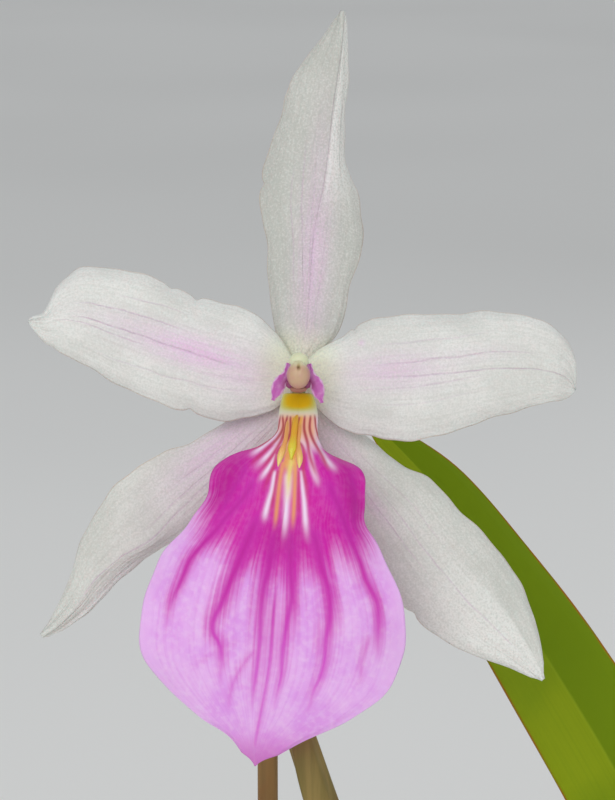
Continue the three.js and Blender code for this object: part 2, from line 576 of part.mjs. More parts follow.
function columnParts(grow = 0) {
  const { route, radii, facets } = COLUMN_CLUB;
  const hood = { at: HOOD.at, half: HOOD.half.map((reach) => reach + grow) };
  return [
    stem(route, radii, ...facets, grow),
    ellipsoid(hood),
    ...COLUMN_WINGS.map((spec) =>
      blade(strapSurface(spec), WING.rows, WING.columns, WING.thickness + 2 * grow)),
  ];
}

// The lip's callus: a middle ridge and two side ridges that end in knobs
const CALLUS = [
  { route: [[-0.2, -1.1, -4.9], [-0.5, -2.4, -6.3], [-0.65, -3.7, -7.9], [-0.85, -4.8, -9.3],
    [-0.9, -5.5, -10.7]],
    radii: [0.4, 0.45, 0.5, 0.6, 0.5] },
  { route: [[-1.3, -1.6, -5.5], [-1.45, -3, -6.9], [-1.6, -4.3, -8.2], [-2, -5.1, -9.3],
    [-2.5, -5.95, -11.4]],
    radii: [0.35, 0.35, 0.4, 0.45, 0.45] },
  { route: [[0.25, -1.8, -5.7], [0.15, -3.2, -7.2], [0, -4.1, -8.2], [0.1, -5.1, -9.5], [0, -5.95, -11.6]],
    radii: [0.35, 0.35, 0.4, 0.45, 0.45] },
];
const CALLUS_FACETS = [6, 5];

const LIP_BLADE = { thickness: 0.8, rows: 20, columns: 12, shape: { belly: 1.4, wave: 0.7, waves: 4 } };

function lip() {
  const { thickness, rows, columns, shape } = LIP_BLADE;
  const plate = blade(railSurface(LIP, shape), rows, columns, thickness);
  const ridges = CALLUS.map(({ route, radii }) => stem(route, radii, ...CALLUS_FACETS));
  return geometryOf(joined([plate, ...ridges]));
}

// The sepals and petals, each with its belly and the waves of its margins
const TEPAL_BLADE = { thickness: 0.7, rows: 14, columns: 8 };
const TEPALS = {
  dorsal_sepal: [DORSAL_SEPAL, { belly: 0.6, wave: 0.4, waves: 2, phase: 1 }],
  left_petal: [LEFT_PETAL, { belly: 0.5, wave: 0.5, waves: 3, phase: 0.4 }],
  right_petal: [RIGHT_PETAL, { belly: 0.5, wave: 0.5, waves: 3, phase: 2 }],
  left_lateral_sepal: [LEFT_SEPAL, { belly: 0.4, wave: 0.3, waves: 2, phase: 0 }],
  right_lateral_sepal: [RIGHT_SEPAL, { belly: 0.5, wave: 0.4, waves: 2, phase: 2 }],
};

place(plant, "pot", pot(), LOOKS.clay);
place(plant, "bark_mix", bark(), LOOKS.bark);
const bulbSolids = Object.values(BULBS).map((spec) => bulb(spec, GAP));
const rhizome = cutBy(joined(rhizomeParts()), [...bulbSolids, ...newGrowth(GAP)]);
place(plant, "rhizome_and_roots", geometryOf(rhizome), LOOKS.root);
for (const [name, spec] of Object.entries(BULBS)) {
  const look = name === "old_leafless" ? LOOKS.oldBulb : LOOKS.bulb;
  place(plant, `pseudobulb_${name}`, bulb(spec), look);
}
for (const [name, spec] of Object.entries(LEAVES)) {
  place(plant, name, leaf(spec), LOOKS.leaf);
}
place(plant, "new_growth", geometryOf(joined(newGrowth())), LOOKS.leaf);
for (const [name, spec] of Object.entries(SCAPES)) {
  place(plant, name, scape(spec), LOOKS.stalk);
}
place(plant, "pedicel_and_ovary", stem(PEDICEL.route, PEDICEL.radii, ...PEDICEL.facets), LOOKS.ovary);
for (const [name, [rails, shape]] of Object.entries(TEPALS)) {
  const { thickness, rows, columns } = TEPAL_BLADE;
  place(flower, name, blade(railSurface(rails, shape), rows, columns, thickness), LOOKS.tepal);
}
place(flower, "lip", lip(), LOOKS.lip);
place(flower, "column", geometryOf(joined(columnParts())), LOOKS.column);
place(flower, "anther_cap", geometryOf(cutBy(solidOf(ellipsoid(ANTHER)), columnParts(GAP))),
  LOOKS.anther);

export default plant;
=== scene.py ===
"""A pansy orchid in flower, growing in bark in a plain clay pot."""
import logging
import math
import random
from collections.abc import Callable, Sequence
from dataclasses import dataclass, field
from enum import Enum
from typing import Protocol

import bmesh
import bpy
import numpy as np
from mathutils import Matrix, Vector


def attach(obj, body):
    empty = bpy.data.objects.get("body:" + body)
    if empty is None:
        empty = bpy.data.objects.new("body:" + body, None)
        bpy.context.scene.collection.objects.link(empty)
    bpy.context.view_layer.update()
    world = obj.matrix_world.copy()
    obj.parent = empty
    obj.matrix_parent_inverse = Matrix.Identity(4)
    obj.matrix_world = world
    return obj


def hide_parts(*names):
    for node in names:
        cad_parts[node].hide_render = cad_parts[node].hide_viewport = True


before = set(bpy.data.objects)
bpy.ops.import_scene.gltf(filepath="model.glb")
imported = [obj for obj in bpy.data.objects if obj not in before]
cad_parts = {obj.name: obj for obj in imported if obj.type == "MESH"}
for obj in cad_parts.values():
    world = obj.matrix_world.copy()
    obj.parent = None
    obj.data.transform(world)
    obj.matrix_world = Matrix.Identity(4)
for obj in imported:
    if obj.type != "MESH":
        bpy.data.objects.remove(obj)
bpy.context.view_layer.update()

LOG = logging.getLogger("orchid")
MM = 0.001
# The heights of the rhizome's middle and of the pseudobulbs' feet, in millimetres
RHIZOME_LEVEL = 86.6
BULB_FOOT = 89.95
# Where a hairline vein fades in after its low end and out at its high end, in shares of the blade
HAIR_BEGINS = (-0.03, 0.08)
HAIR_ENDS = (-0.1, 0.03)
# How light spreads in flesh: how far red, green and blue reach, and the depth they share
FLESH_REACH = (1.0, 0.6, 0.6)
FLESH_DEPTH_MM = 1.5

Point = tuple[float, float, float]
Route = tuple[Point, ...]
Pairs = tuple[tuple[float, float], ...]
Surface = Callable[[float, float], Vector]
Placing = Callable[[Vector], Vector]
Section = Callable[[float, float], float]
Mask = Callable[["Spots"], np.ndarray]
Socket = bpy.types.NodeSocket


class Slot(Enum):
    """The record's material slots."""

    CLAY = "clay"
    BARK = "bark"
    ROOT = "root"
    BULB = "bulb"
    OLD_BULB = "old_bulb"
    LEAF = "leaf"
    STALK = "stalk"
    OVARY = "ovary"
    TEPAL = "tepal"
    LIP = "lip"
    COLUMN = "column"
    ANTHER = "anther"


def linear(colour: str) -> tuple[float, float, float, float]:
    """Turn a written colour such as #E9E6E4 into linear values, by the usual curve of screens.

    Args:
        colour: Red, green and blue as six hexadecimal digits after a hash.

    Returns:
        The linear red, green and blue, with an alpha of one.
    """
    parts = [int(colour[k:k + 2], 16) / 255 for k in (1, 3, 5)]
    red, green, blue = (p / 12.92 if p <= 0.04045 else ((p + 0.055) / 1.055) ** 2.4 for p in parts)
    return (red, green, blue, 1.0)


class Shader:
    """One material's node tree, with a short call for each kind of node used here."""

    def __init__(self, name: str) -> None:
        """Start an empty material with a principled surface.

        Args:
            name: The material's name.
        """
        self.material = bpy.data.materials.new(name)
        self.material.use_nodes = True
        self.nodes = self.material.node_tree.nodes
        self.links = self.material.node_tree.links
        self.nodes.clear()
        self.surface = self.nodes.new("ShaderNodeBsdfPrincipled")
        output = self.nodes.new("ShaderNodeOutputMaterial")
        self.links.new(self.surface.outputs["BSDF"], output.inputs["Surface"])
        self.coordinates = self.nodes.new("ShaderNodeTexCoord")

    @property
    def place(self) -> Socket:
        """The place in the object, in metres."""
        return self.coordinates.outputs["Object"]

    @property
    def height(self) -> Socket:
        """The height in the object, in metres."""
        parts = self.nodes.new("ShaderNodeSeparateXYZ")
        self.links.new(self.place, parts.inputs[0])
        return parts.outputs[2]

    def feed(self, target: Socket, value: Socket | float | str) -> None:
        """Give a socket its value.

        Args:
            target: The socket.
            value: A link, a number or a written colour.
        """
        if isinstance(value, str):
            target.default_value = linear(value)
        elif isinstance(value, (int, float)):
            target.default_value = value
        else:
            self.links.new(value, target)

    def attribute(self, name: str) -> Socket:
        """Read one of the mesh's own number attributes.

        Args:
            name: The attribute's name.

        Returns:
            Its value.
        """
        node = self.nodes.new("ShaderNodeAttribute")
        node.attribute_name = name
        return node.outputs["Fac"]

    def blade_axes(self) -> tuple[Socket, Socket]:
        """Read the mesh's UV map: the places across the blade and along it, from 0 to 1."""
        parts = self.nodes.new("ShaderNodeSeparateXYZ")
        self.links.new(self.coordinates.outputs["UV"], parts.inputs[0])
        return parts.outputs[0], parts.outputs[1]

    def scaled(self, vector: Socket, factors: Point) -> Socket:
        """Scale coordinates.

        Args:
            vector: The coordinates.
            factors: Their three factors.

        Returns:
            The scaled coordinates.
        """
        node = self.nodes.new("ShaderNodeMapping")
        node.inputs["Scale"].default_value = factors
        self.links.new(vector, node.inputs["Vector"])
        return node.outputs["Vector"]

    def stretched(self, *factors: float) -> Socket:
        """Scale the object's coordinates by three factors, so that a grain runs long one way."""
        return self.scaled(self.place, factors)

    def noise(self, size_mm: float, detail: float = 3.0, vector: Socket | None = None) -> Socket:
        """Make a cloudy pattern.

        Args:
            size_mm: The size of one cloud.
            detail: How many finer layers it has.
            vector: The coordinates, or None for the object's own.

        Returns:
            The pattern, from about 0.3 to 0.7.
        """
        node = self.nodes.new("ShaderNodeTexNoise")
        node.inputs["Scale"].default_value = 1 / (size_mm * MM)
        node.inputs["Detail"].default_value = detail
        self.links.new(vector or self.place, node.inputs["Vector"])
        return node.outputs["Fac"]

    def clouds(self, size_mm: float, share: float = 1.0, low: float = 0.35, high: float = 0.65,
               detail: float = 3.0) -> Socket:
        """Make soft clouds with clear places between them.

        Args:
            size_mm: The size of one cloud.
            share: The strength in a cloud's middle.
            low: The level of the pattern below which a place is clear.
            high: The level above which it has the full strength.
            detail: How many finer layers the pattern has.

        Returns:
            The strength at each place.
        """
        return self.between(self.noise(size_mm, detail), low, high, 0.0, share)

    def grain(self, across: float, along: float, detail: float = 2.0) -> Socket:
        """Make a cloudy pattern in the blade's own axes, of so many clouds across and along."""
        vector = self.scaled(self.coordinates.outputs["UV"], (across, along, 1.0))
        return self.noise(1 / MM, detail, vector)

    def cells(self, size_mm: float) -> Socket:
        """Make a pattern of small rounded cells.

        Args:
            size_mm: The size of one cell.

        Returns:
            The pattern, 0 in the middle of a cell.
        """
        node = self.nodes.new("ShaderNodeTexVoronoi")
        node.inputs["Scale"].default_value = 1 / (size_mm * MM)
        self.links.new(self.place, node.inputs["Vector"])
        return node.outputs["Distance"]

    def maths(self, operation: str, first: Socket | float, second: Socket | float = 0.0) -> Socket:
        """Work out one sum.

        Args:
            operation: The kind of sum, as the node names it.
            first: The first number.
            second: The second number, for a sum that takes two.

        Returns:
            The result.
        """
        node = self.nodes.new("ShaderNodeMath")
        node.operation = operation
        self.feed(node.inputs[0], first)
        self.feed(node.inputs[1], second)
        return node.outputs[0]

    def plus(self, first: Socket | float, second: Socket | float) -> Socket:
        """Add two numbers."""
        return self.maths("ADD", first, second)

    def minus(self, first: Socket | float, second: Socket | float) -> Socket:
        """Take the second number from the first."""
        return self.maths("SUBTRACT", first, second)

    def times(self, first: Socket | float, second: Socket | float) -> Socket:
        """Multiply two numbers."""
        return self.maths("MULTIPLY", first, second)

    def apart(self, first: Socket | float, second: Socket | float) -> Socket:
        """Measure how far apart two numbers are."""
        return self.maths("ABSOLUTE", self.minus(first, second))

    def between(self, value: Socket, low: float, high: float, to_low: float = 0.0,
                to_high: float = 1.0) -> Socket:
        """Carry a value smoothly from one span to another, held at the ends.

        Args:
            value: The value.
            low: The start of its span.
            high: The end of its span.
            to_low: What the start becomes.
            to_high: What the end becomes.

        Returns:
            The value in the new span.
        """
        node = self.nodes.new("ShaderNodeMapRange")
        node.interpolation_type = "SMOOTHSTEP"
        for place, number in enumerate((low, high, to_low, to_high), start=1):
            node.inputs[place].default_value = number
        self.links.new(value, node.inputs[0])
        return node.outputs[0]

    def hairline(self, hair: "Hair", across: Socket, along: Socket, wander: Socket) -> Socket:
        """Draw one hairline vein.

        Args:
            hair: Where the vein runs.
            across: The place across the blade, from 0 to 1.
            along: The place along it.
            wander: A pattern that bends the line a little.

        Returns:
            The vein's strength on its middle, falling to zero at its sides and its ends.
        """
        slant = (hair.high_across - hair.low_across) / (hair.high - hair.low)
        middle = self.plus(self.times(along, slant), hair.low_across - slant * hair.low)
        off = self.apart(self.minus(across, middle), wander)
        line = self.between(off, 0.0, hair.width, hair.strength, 0.0)
        begun = self.between(along, *(hair.low + step for step in HAIR_BEGINS))
        lasting = self.between(along, *(hair.high + step for step in HAIR_ENDS), 1.0, 0.0)
        return self.times(line, self.times(begun, lasting))

    def mix(self, share: Socket | float, first: Socket | str, second: Socket | str) -> Socket:
        """Mix two colours.

        Args:
            share: The share of the second colour, from 0 to 1.
            first: The colour underneath.
            second: The colour laid over it.

        Returns:
            The mixed colour.
        """
        node = self.nodes.new("ShaderNodeMix")
        node.data_type = "RGBA"
        self.feed(node.inputs[0], share)
        self.feed(node.inputs[6], first)
        self.feed(node.inputs[7], second)
        return node.outputs[2]

    def marked(self, colour: Socket, finish: object, marks: Sequence[str]) -> Socket:
        """Lay a finish's own colours over a surface, one after another.

        Args:
            colour: The colour of the surface so far.
            finish: The finish that holds the colours.
            marks: Their names, each also the name of the mesh's attribute that places the colour.

        Returns:
            The colour with all the marks on it.
        """
        for mark in marks:
            colour = self.mix(self.attribute(mark), colour, getattr(finish, mark))
        return colour

    def finish(self, colour: Socket, roughness: float, height: Socket | None = None,
               relief_mm: float = 0.0, soft: float = 0.0, sheen: float = 0.0,
               gloss: float = 0.5) -> bpy.types.Material:
        """Wire the surface up.

        Args:
            colour: The surface's colour.
            roughness: Its roughness.
            height: The pattern of its fine relief, or None.
            relief_mm: How deep that relief is.
            soft: How much light goes into the flesh and comes out again.
            sheen: The share of velvety light at grazing angles.
            gloss: The strength of its reflections, a half for most skins.

        Returns:
            The finished material.
        """
        inputs = self.surface.inputs
        self.links.new(colour, inputs["Base Color"])
        inputs["Roughness"].default_value = roughness
        if height is not None:
            bump = self.nodes.new("ShaderNodeBump")
            bump.inputs["Distance"].default_value = relief_mm * MM
            self.links.new(height, bump.inputs["Height"])
            self.links.new(bump.outputs["Normal"], inputs["Normal"])
        inputs["Subsurface Weight"].default_value = soft
        inputs["Subsurface Radius"].default_value = FLESH_REACH
        inputs["Subsurface Scale"].default_value = FLESH_DEPTH_MM * MM
        inputs["Sheen Weight"].default_value = sheen
        inputs["Specular IOR Level"].default_value = gloss
        return self.material


@dataclass(frozen=True)
class Hair:
    """A hairline vein: its place across the blade, from 0 to 1, at its low and its high end."""

    low_across: float
    high_across: float
    low: float
    high: float
    strength: float = 0.7
    width: float = 0.012


@dataclass(frozen=True)
class TepalFinish:
    """The white flesh of a sepal or petal, flushed with pink and drawn with hairline veins.

    Sizes are in millimetres. The numbers of clouds in the blade's own axes are across and along.
    """

    name: str
    hairs: tuple[Hair, ...]
    flesh: str = "#DEDEDA"
    shade: str = "#C6C8C2"
    flush: str = "#E0B6DC"
    vein: str = "#BFA3BB"
    # The colour of the painted light on one side of a crease, and of the pale crystal specks
    light: str = "#F2F2EE"
    throat: str = "#DCE3C0"
    rim: str = "#DCC9B8"
    cloud_size: float = 6.0
    cloud_share: float = 0.4
    stripes: tuple[float, float] = (46.0, 5.0)
    stripe_share: float = 0.3
    bends: tuple[float, float, float] = (1.3, 9.0, 3.0)
    bend: float = 0.009
    breaks: tuple[float, float] = (3.0, 40.0)
    rim_from: float = 0.486
    rim_full: float = 0.499
    rim_share: float = 0.8
    crystal_size: float = 0.24
    vein_depth: float = 1.5
    swells: tuple[float, float] = (9.0, 4.0)
    swell_height: float = 6.0
    relief: float = 0.05
    roughness: float = 0.6

    def veins(self, shader: Shader, across: Socket, along: Socket) -> Socket:
        """Draw the hairline veins, each a little bent and broken.

        Args:
            shader: The material's shader.
            across: The place across the blade.
            along: The place along it.

        Returns:
            The strength of the veins.
        """
        wander = shader.between(shader.grain(*self.bends), 0.3, 0.7, -self.bend, self.bend)
        veins: Socket | float = 0.0
        for hair in self.hairs:
            veins = shader.maths("MAXIMUM", veins, shader.hairline(hair, across, along, wander))
        broken = shader.between(shader.grain(*self.breaks), 0.3, 0.55, 0.45, 1.0)
        return shader.times(veins, broken)

    def build(self) -> bpy.types.Material:
        """Build the material from the flush, painted light and throat attributes and the blade's
        axes.

        Returns:
            The material.
        """
        shader = Shader(self.name)
        across, along = shader.blade_axes()
        colour = shader.mix(shader.clouds(self.cloud_size, self.cloud_share), self.flesh,
                            self.shade)
        stripes = shader.grain(*self.stripes)
        striped = shader.between(stripes, 0.45, 0.65, 0.0, self.stripe_share)
        colour = shader.mix(striped, colour, self.shade)
        # The light attribute lays painted light on one side of the crease
        colour = shader.marked(colour, self, ("light", "throat"))
        streaky = shader.between(stripes, 0.3, 0.7, 0.75, 1.2)
        colour = shader.mix(shader.times(shader.attribute("flush"), streaky), colour, self.flush)
        drawn = self.veins(shader, across, along)
        colour = shader.mix(drawn, colour, self.vein)
        off = shader.apart(across, 0.5)
        rim = shader.between(off, self.rim_from, self.rim_full, 0.0, self.rim_share)
        colour = shader.mix(rim, colour, self.rim)
        crystals = shader.noise(self.crystal_size, 2.0)
        colour = shader.mix(shader.between(crystals, 0.45, 0.7, 0.0, 0.45), colour, self.shade)
        colour = shader.mix(shader.between(crystals, 0.5, 0.3, 0.0, 0.2), colour, self.light)
        height = shader.minus(crystals, shader.times(drawn, self.vein_depth))
        height = shader.plus(height, shader.times(shader.grain(*self.swells), self.swell_height))
        return shader.finish(colour, self.roughness, height, self.relief, soft=0.25, sheen=0.1,
                             gloss=0.3)


# The lip's markings in the order in which they are laid over the flush
LIP_MARKS = ("branch_and_tip_shade", "vein", "deep", "white", "peach", "amber", "orange", "straw", "rose",
             "brown", "cream", "halo", "yellow")


@dataclass(frozen=True)
class LipFinish:
    """The lip: orchid pink with dark branching veins and painted shade on its tip, and a striped
    yellow throat.
    """

    name: str = "lip"
    pink: str = "#DC9CE4"
    pale: str = "#E3B2E9"
    line: str = "#D486DC"
    magenta: str = "#CC10A0"
    vein: str = "#BC1094"
    # Violet of the lower veins, also laid on the tip as painted shade
    branch_and_tip_shade: str = "#CE44C4"
    # Darker magenta for the shoulders, the middle and the base's edge, and painted shade on the tip
    deep: str = "#A20C7C"
    rose: str = "#C2386E"
    brown: str = "#A5502E"
    white: str = "#EFDCF0"
    peach: str = "#EDB48A"
    orange: str = "#E59C62"
    amber: str = "#E6A832"
    straw: str = "#E6D27A"
    cream: str = "#DCDBC2"
    halo: str = "#D0CA4C"
    yellow: str = "#EAC000"
    fan: tuple[float, float] = (70.0, 4.0)
    mesh_size: float = 0.7
    cloud_size: float = 5.0
    border_streaks: float = 0.9
    vein_depth: float = 0.4
    relief: float = 0.06
    roughness: float = 0.55

    def build(self) -> bpy.types.Material:
        """Build the material from the lip's own attributes, over fine lines that fan out.

        Returns:
            The material.
        """
        shader = Shader(self.name)
        fan = shader.grain(*self.fan)
        mesh = shader.noise(self.mesh_size)
        colour = shader.mix(shader.clouds(self.cloud_size), self.pink, self.pale)
        colour = shader.mix(shader.between(fan, 0.42, 0.68, 0.0, 0.3), colour, self.line)
        colour = shader.mix(shader.between(mesh, 0.4, 0.75, 0.0, 0.25), colour, self.white)
        colour = shader.mix(shader.attribute("margin"), colour, self.pale)
        flush = shader.attribute("flush")
        border = shader.times(flush, shader.minus(1.0, flush))
        lines = shader.between(fan, 0.3, 0.7, -self.border_streaks, self.border_streaks)
        flush = shader.plus(flush, shader.times(border, lines))
        flush = shader.times(flush, shader.between(mesh, 0.3, 0.7, 1.03, 0.95))
        colour = shader.mix(flush, colour, self.magenta)
        colour = shader.marked(colour, self, LIP_MARKS)
        skin = shader.plus(shader.times(mesh, 0.7), shader.times(fan, 0.7))
        height = shader.minus(skin, shader.times(shader.attribute("vein"), self.vein_depth))
        return shader.finish(colour, self.roughness, height, self.relief, soft=0.2, sheen=0.1,
                             gloss=0.18)


@dataclass(frozen=True)
class CallusFinish:
    """The callus ridges: waxy, shaded from one colour at the foot to another at the knob."""

    name: str
    foot: str
    knob: str
    turns_at: float = 0.6
    roughness: float = 0.4

    def build(self) -> bpy.types.Material:
        """Build the material along the ridge.

        Returns:
            The material.
        """
        shader = Shader(self.name)
        along = shader.blade_axes()[1]
        turning = shader.between(along, self.turns_at - 0.25, self.turns_at + 0.15)
        colour = shader.mix(turning, self.foot, self.knob)
        colour = shader.mix(shader.clouds(0.8, 0.35, 0.5, 0.75), colour, self.foot)
        return shader.finish(colour, self.roughness, shader.noise(0.3), 0.03, soft=0.3)


@dataclass(frozen=True)
class ColumnFinish:
    """The column: a pale green hood that turns magenta on the wings, with pale thin margins and
    painted shade in the pocket on each side of the cap.
    """

    name: str = "column"
    hood: str = "#DADCB8"
    wing: str = "#B455A6"
    # The colour of the painted shade in the pocket on each side of the cap
    dark: str = "#861A62"
    edge: str = "#E2BEDC"
    brown: str = "#8E3A34"
    roughness: float = 0.45

    def build(self) -> bpy.types.Material:
        """Build the material from the wing, dark, edge and brown attributes; the dark one is
        painted shade.

        Returns:
            The material.
        """
        shader = Shader(self.name)
        colour = shader.mix(shader.attribute("wing"), self.hood, self.wing)
        cloud = shader.clouds(0.9, 0.25, 0.4, 0.7)
        colour = shader.mix(shader.times(cloud, shader.attribute("wing")), colour, self.edge)
        colour = shader.marked(colour, self, ("dark", "edge", "brown"))
        return shader.finish(colour, self.roughness, shader.cells(0.25), 0.02, soft=0.25)


@dataclass(frozen=True)
class AntherFinish:
    """The anther cap: a smooth beige-pink wax, pale on its crown, with a brown slit below it."""

    name: str = "anther cap"
    cap: str = "#C2A283"
    blush: str = "#C08C86"
    crown: str = "#CFCBA6"
    olive: str = "#9C8E50"
    slit: str = "#6E4A26"
    roughness: float = 0.42

    def build(self) -> bpy.types.Material:
        """Build the material, blushed towards its rim and dark in its slit.

        Returns:
            The material.
        """
        shader = Shader(self.name)
        colour = shader.mix(shader.clouds(0.7, 0.3, 0.45, 0.7), self.cap, self.blush)
        colour = shader.mix(shader.attribute("rim"), colour, self.blush)
        colour = shader.marked(colour, self, ("crown", "olive", "slit"))
        return shader.finish(colour, self.roughness, shader.noise(0.25), 0.02, soft=0.3)


@dataclass(frozen=True)
class LeafFinish:
    """A strap leaf: smooth, with a faint midrib, one half darkened by painted shade and a thin rust
    margin.
    """

    name: str
    bright: str = "#7F9C22"
    deep: str = "#4F7210"
    young: str = "#98AE3C"
    rib: str = "#B0BC62"
    rust: str = "#8E5B22"
    painted_shade_half: float = 0.35
    vein_share: float = 0.18
    rib_share: float = 0.4
    rib_half: float = 0.022
    margin_from: float = 0.479
    margin_full: float = 0.496
    roughness: float = 0.45
    gloss: float = 0.3

    def build(self) -> bpy.types.Material:
        """Build the material from the blade's axes.

        Returns:
            The material.
        """
        shader = Shader(self.name)
        across, along = shader.blade_axes()
        colour = shader.mix(shader.clouds(16.0, 0.6, 0.3, 0.7), self.bright, self.deep)
        colour = shader.mix(shader.between(along, 0.6, 0.95, 0.0, 0.6), colour, self.young)
        # Painted shade: the half past the midrib is darkened as if turned from the light
        colour = shader.mix(shader.between(across, 0.49, 0.53, 0.0, self.painted_shade_half), colour,
                            self.deep)
        veins = shader.grain(40.0, 1.5, 3.0)
        colour = shader.mix(shader.between(veins, 0.45, 0.65, 0.0, self.vein_share), colour,
                            self.deep)
        off = shader.apart(across, 0.5)
        rib = shader.between(off, 0.0, self.rib_half, self.rib_share, 0.0)
        colour = shader.mix(rib, colour, self.rib)
        uneven = shader.between(shader.grain(2.0, 26.0), 0.35, 0.6, 0.45, 1.0)
        margin = shader.times(shader.between(off, self.margin_from, self.margin_full), uneven)
        colour = shader.mix(margin, colour, self.rust)
        height = shader.plus(shader.times(shader.noise(0.5), 0.5), veins)
        return shader.finish(colour, self.roughness, height, 0.025, soft=0.08, gloss=self.gloss)


@dataclass(frozen=True)
class BulbFinish:
    """A pseudobulb's skin: long furrows, darker towards its foot, with dry specks."""

    name: str
    skin: str = "#86A03C"
    light: str = "#A9B758"
    foot: str = "#7A6A38"
    speck: str = "#5E4A26"
    speck_share: float = 0.6
    roughness: float = 0.4

    def build(self) -> bpy.types.Material:
        """Build the material from the foot attribute, streaked up the bulb.

        Returns:
            The material.
        """
        shader = Shader(self.name)
        streak = shader.noise(2.2, 4.0, shader.stretched(1.0, 1.0, 0.12))
        colour = shader.mix(shader.between(streak, 0.35, 0.65), self.skin, self.light)
        colour = shader.mix(shader.attribute("foot"), colour, self.foot)
        specks = shader.clouds(0.9, 1.0, 0.64, 0.7, 2.0)
        colour = shader.mix(shader.times(specks, self.speck_share), colour, self.speck)
        return shader.finish(colour, self.roughness, streak, 0.25, soft=0.05)


@dataclass(frozen=True)
class StalkFinish:
    """A scape, with its dry clasping bracts: straw and olive with rusty streaks."""

    name: str
    straw: str = "#A59A6C"
    olive: str = "#8A8A44"
    rust: str = "#8B5A2C"
    rust_share: float = 0.6
    roughness: float = 0.6

    def build(self) -> bpy.types.Material:
        """Build the material, streaked up the stem.

        Returns:
            The material.
        """
        shader = Shader(self.name)
        streak = shader.noise(1.4, 4.0, shader.stretched(1.0, 1.0, 0.07))
        patch = shader.noise(9.0)
        colour = shader.mix(shader.between(streak, 0.35, 0.65), self.straw, self.olive)
        rusty = shader.times(shader.between(patch, 0.45, 0.62), self.rust_share)
        colour = shader.mix(rusty, colour, self.rust)
        return shader.finish(colour, self.roughness, streak, 0.15, soft=0.04)


@dataclass(frozen=True)
class RootFinish:
    """The roots' spongy skin: silver-white, grey-green where it is thin, with a tan rhizome."""

    name: str = "roots"
    silver: str = "#CFCBBB"
    green: str = "#A3A886"
    tan: str = "#8C7448"
    roughness: float = 0.8

    def build(self) -> bpy.types.Material:
        """Build the material, tan where the rhizome attribute says so.

        Returns:
            The material.
        """
        shader = Shader(self.name)
        colour = shader.mix(shader.clouds(4.0, 1.0, 0.4), self.silver, self.green)
        colour = shader.mix(shader.clouds(2.0, 0.6, 0.5, 0.72, 5.0), colour, self.tan)
        colour = shader.mix(shader.attribute("rhizome"), colour, self.tan)
        return shader.finish(colour, self.roughness, shader.noise(0.6, 4.0), 0.12)


@dataclass(frozen=True)
class BarkFinish:
    """Fir bark: each chip its own brown, with layered grain and pale broken faces."""

    name: str = "bark"
    dark: str = "#3B2418"
    brown: str = "#6E4630"
    pale: str = "#A07A58"
    roughness: float = 0.88

    def build(self) -> bpy.types.Material:
        """Build the material from each chip's own tone.

        Returns:
            The material.
        """
        shader = Shader(self.name)
        layers = shader.noise(1.6, 5.0, shader.stretched(1.0, 1.0, 3.0))
        tone = shader.attribute("tone")
        colour = shader.mix(shader.between(layers, 0.35, 0.65), self.dark, self.brown)
        paled = shader.times(tone, shader.between(layers, 0.4, 0.6))
        colour = shader.mix(paled, colour, self.pale)
        return shader.finish(colour, self.roughness, layers, 0.5)


@dataclass(frozen=True)
class ClayFinish:
    """Fired clay, cloudy and gritty, with a pale mineral bloom low on the wall."""

    name: str = "clay"
    clay: str = "#B4694A"
    deep: str = "#96502F"
    bloom: str = "#CDB4A0"
    bloom_gone_at: float = 60.0
    bloom_full_at: float = 8.0
    bloom_share: float = 0.7
    roughness: float = 0.86

    def build(self) -> bpy.types.Material:
        """Build the material, its bloom fading out with height.

        Returns:
            The material.
        """
        shader = Shader(self.name)
        cloud = shader.noise(22.0, 5.0)
        grit = shader.noise(0.9, 4.0)
        colour = shader.mix(shader.between(cloud, 0.35, 0.65), self.clay, self.deep)
        colour = shader.mix(shader.between(grit, 0.55, 0.72, 0.0, 0.5), colour, self.deep)
        low = shader.between(shader.height, self.bloom_gone_at * MM, self.bloom_full_at * MM, 0.0,
                             self.bloom_share)
        bloom = shader.times(low, shader.clouds(9.0, 1.0, 0.3, 0.78, 6.0))
        colour = shader.mix(bloom, colour, self.bloom)
        turning = shader.noise(1.1, 3.0, shader.stretched(0.05, 0.05, 1.0))
        height = shader.plus(shader.times(grit, 0.5), shader.times(turning, 0.5))
        return shader.finish(colour, self.roughness, height, 0.2)


@dataclass(frozen=True)
class GroundFinish:
    """The plain pale ground that the pot stands on."""

    name: str = "ground"
    tone: str = "#F0EFEC"
    second: str = "#ECEBE8"
    roughness: float = 0.9

    def build(self) -> bpy.types.Material:
        """Build a quiet matt surface.

        Returns:
            The material.
        """
        shader = Shader(self.name)
        colour = shader.mix(shader.clouds(700.0, 1.0, 0.3, 0.7, 1.0), self.tone, self.second)
        return shader.finish(colour, self.roughness)


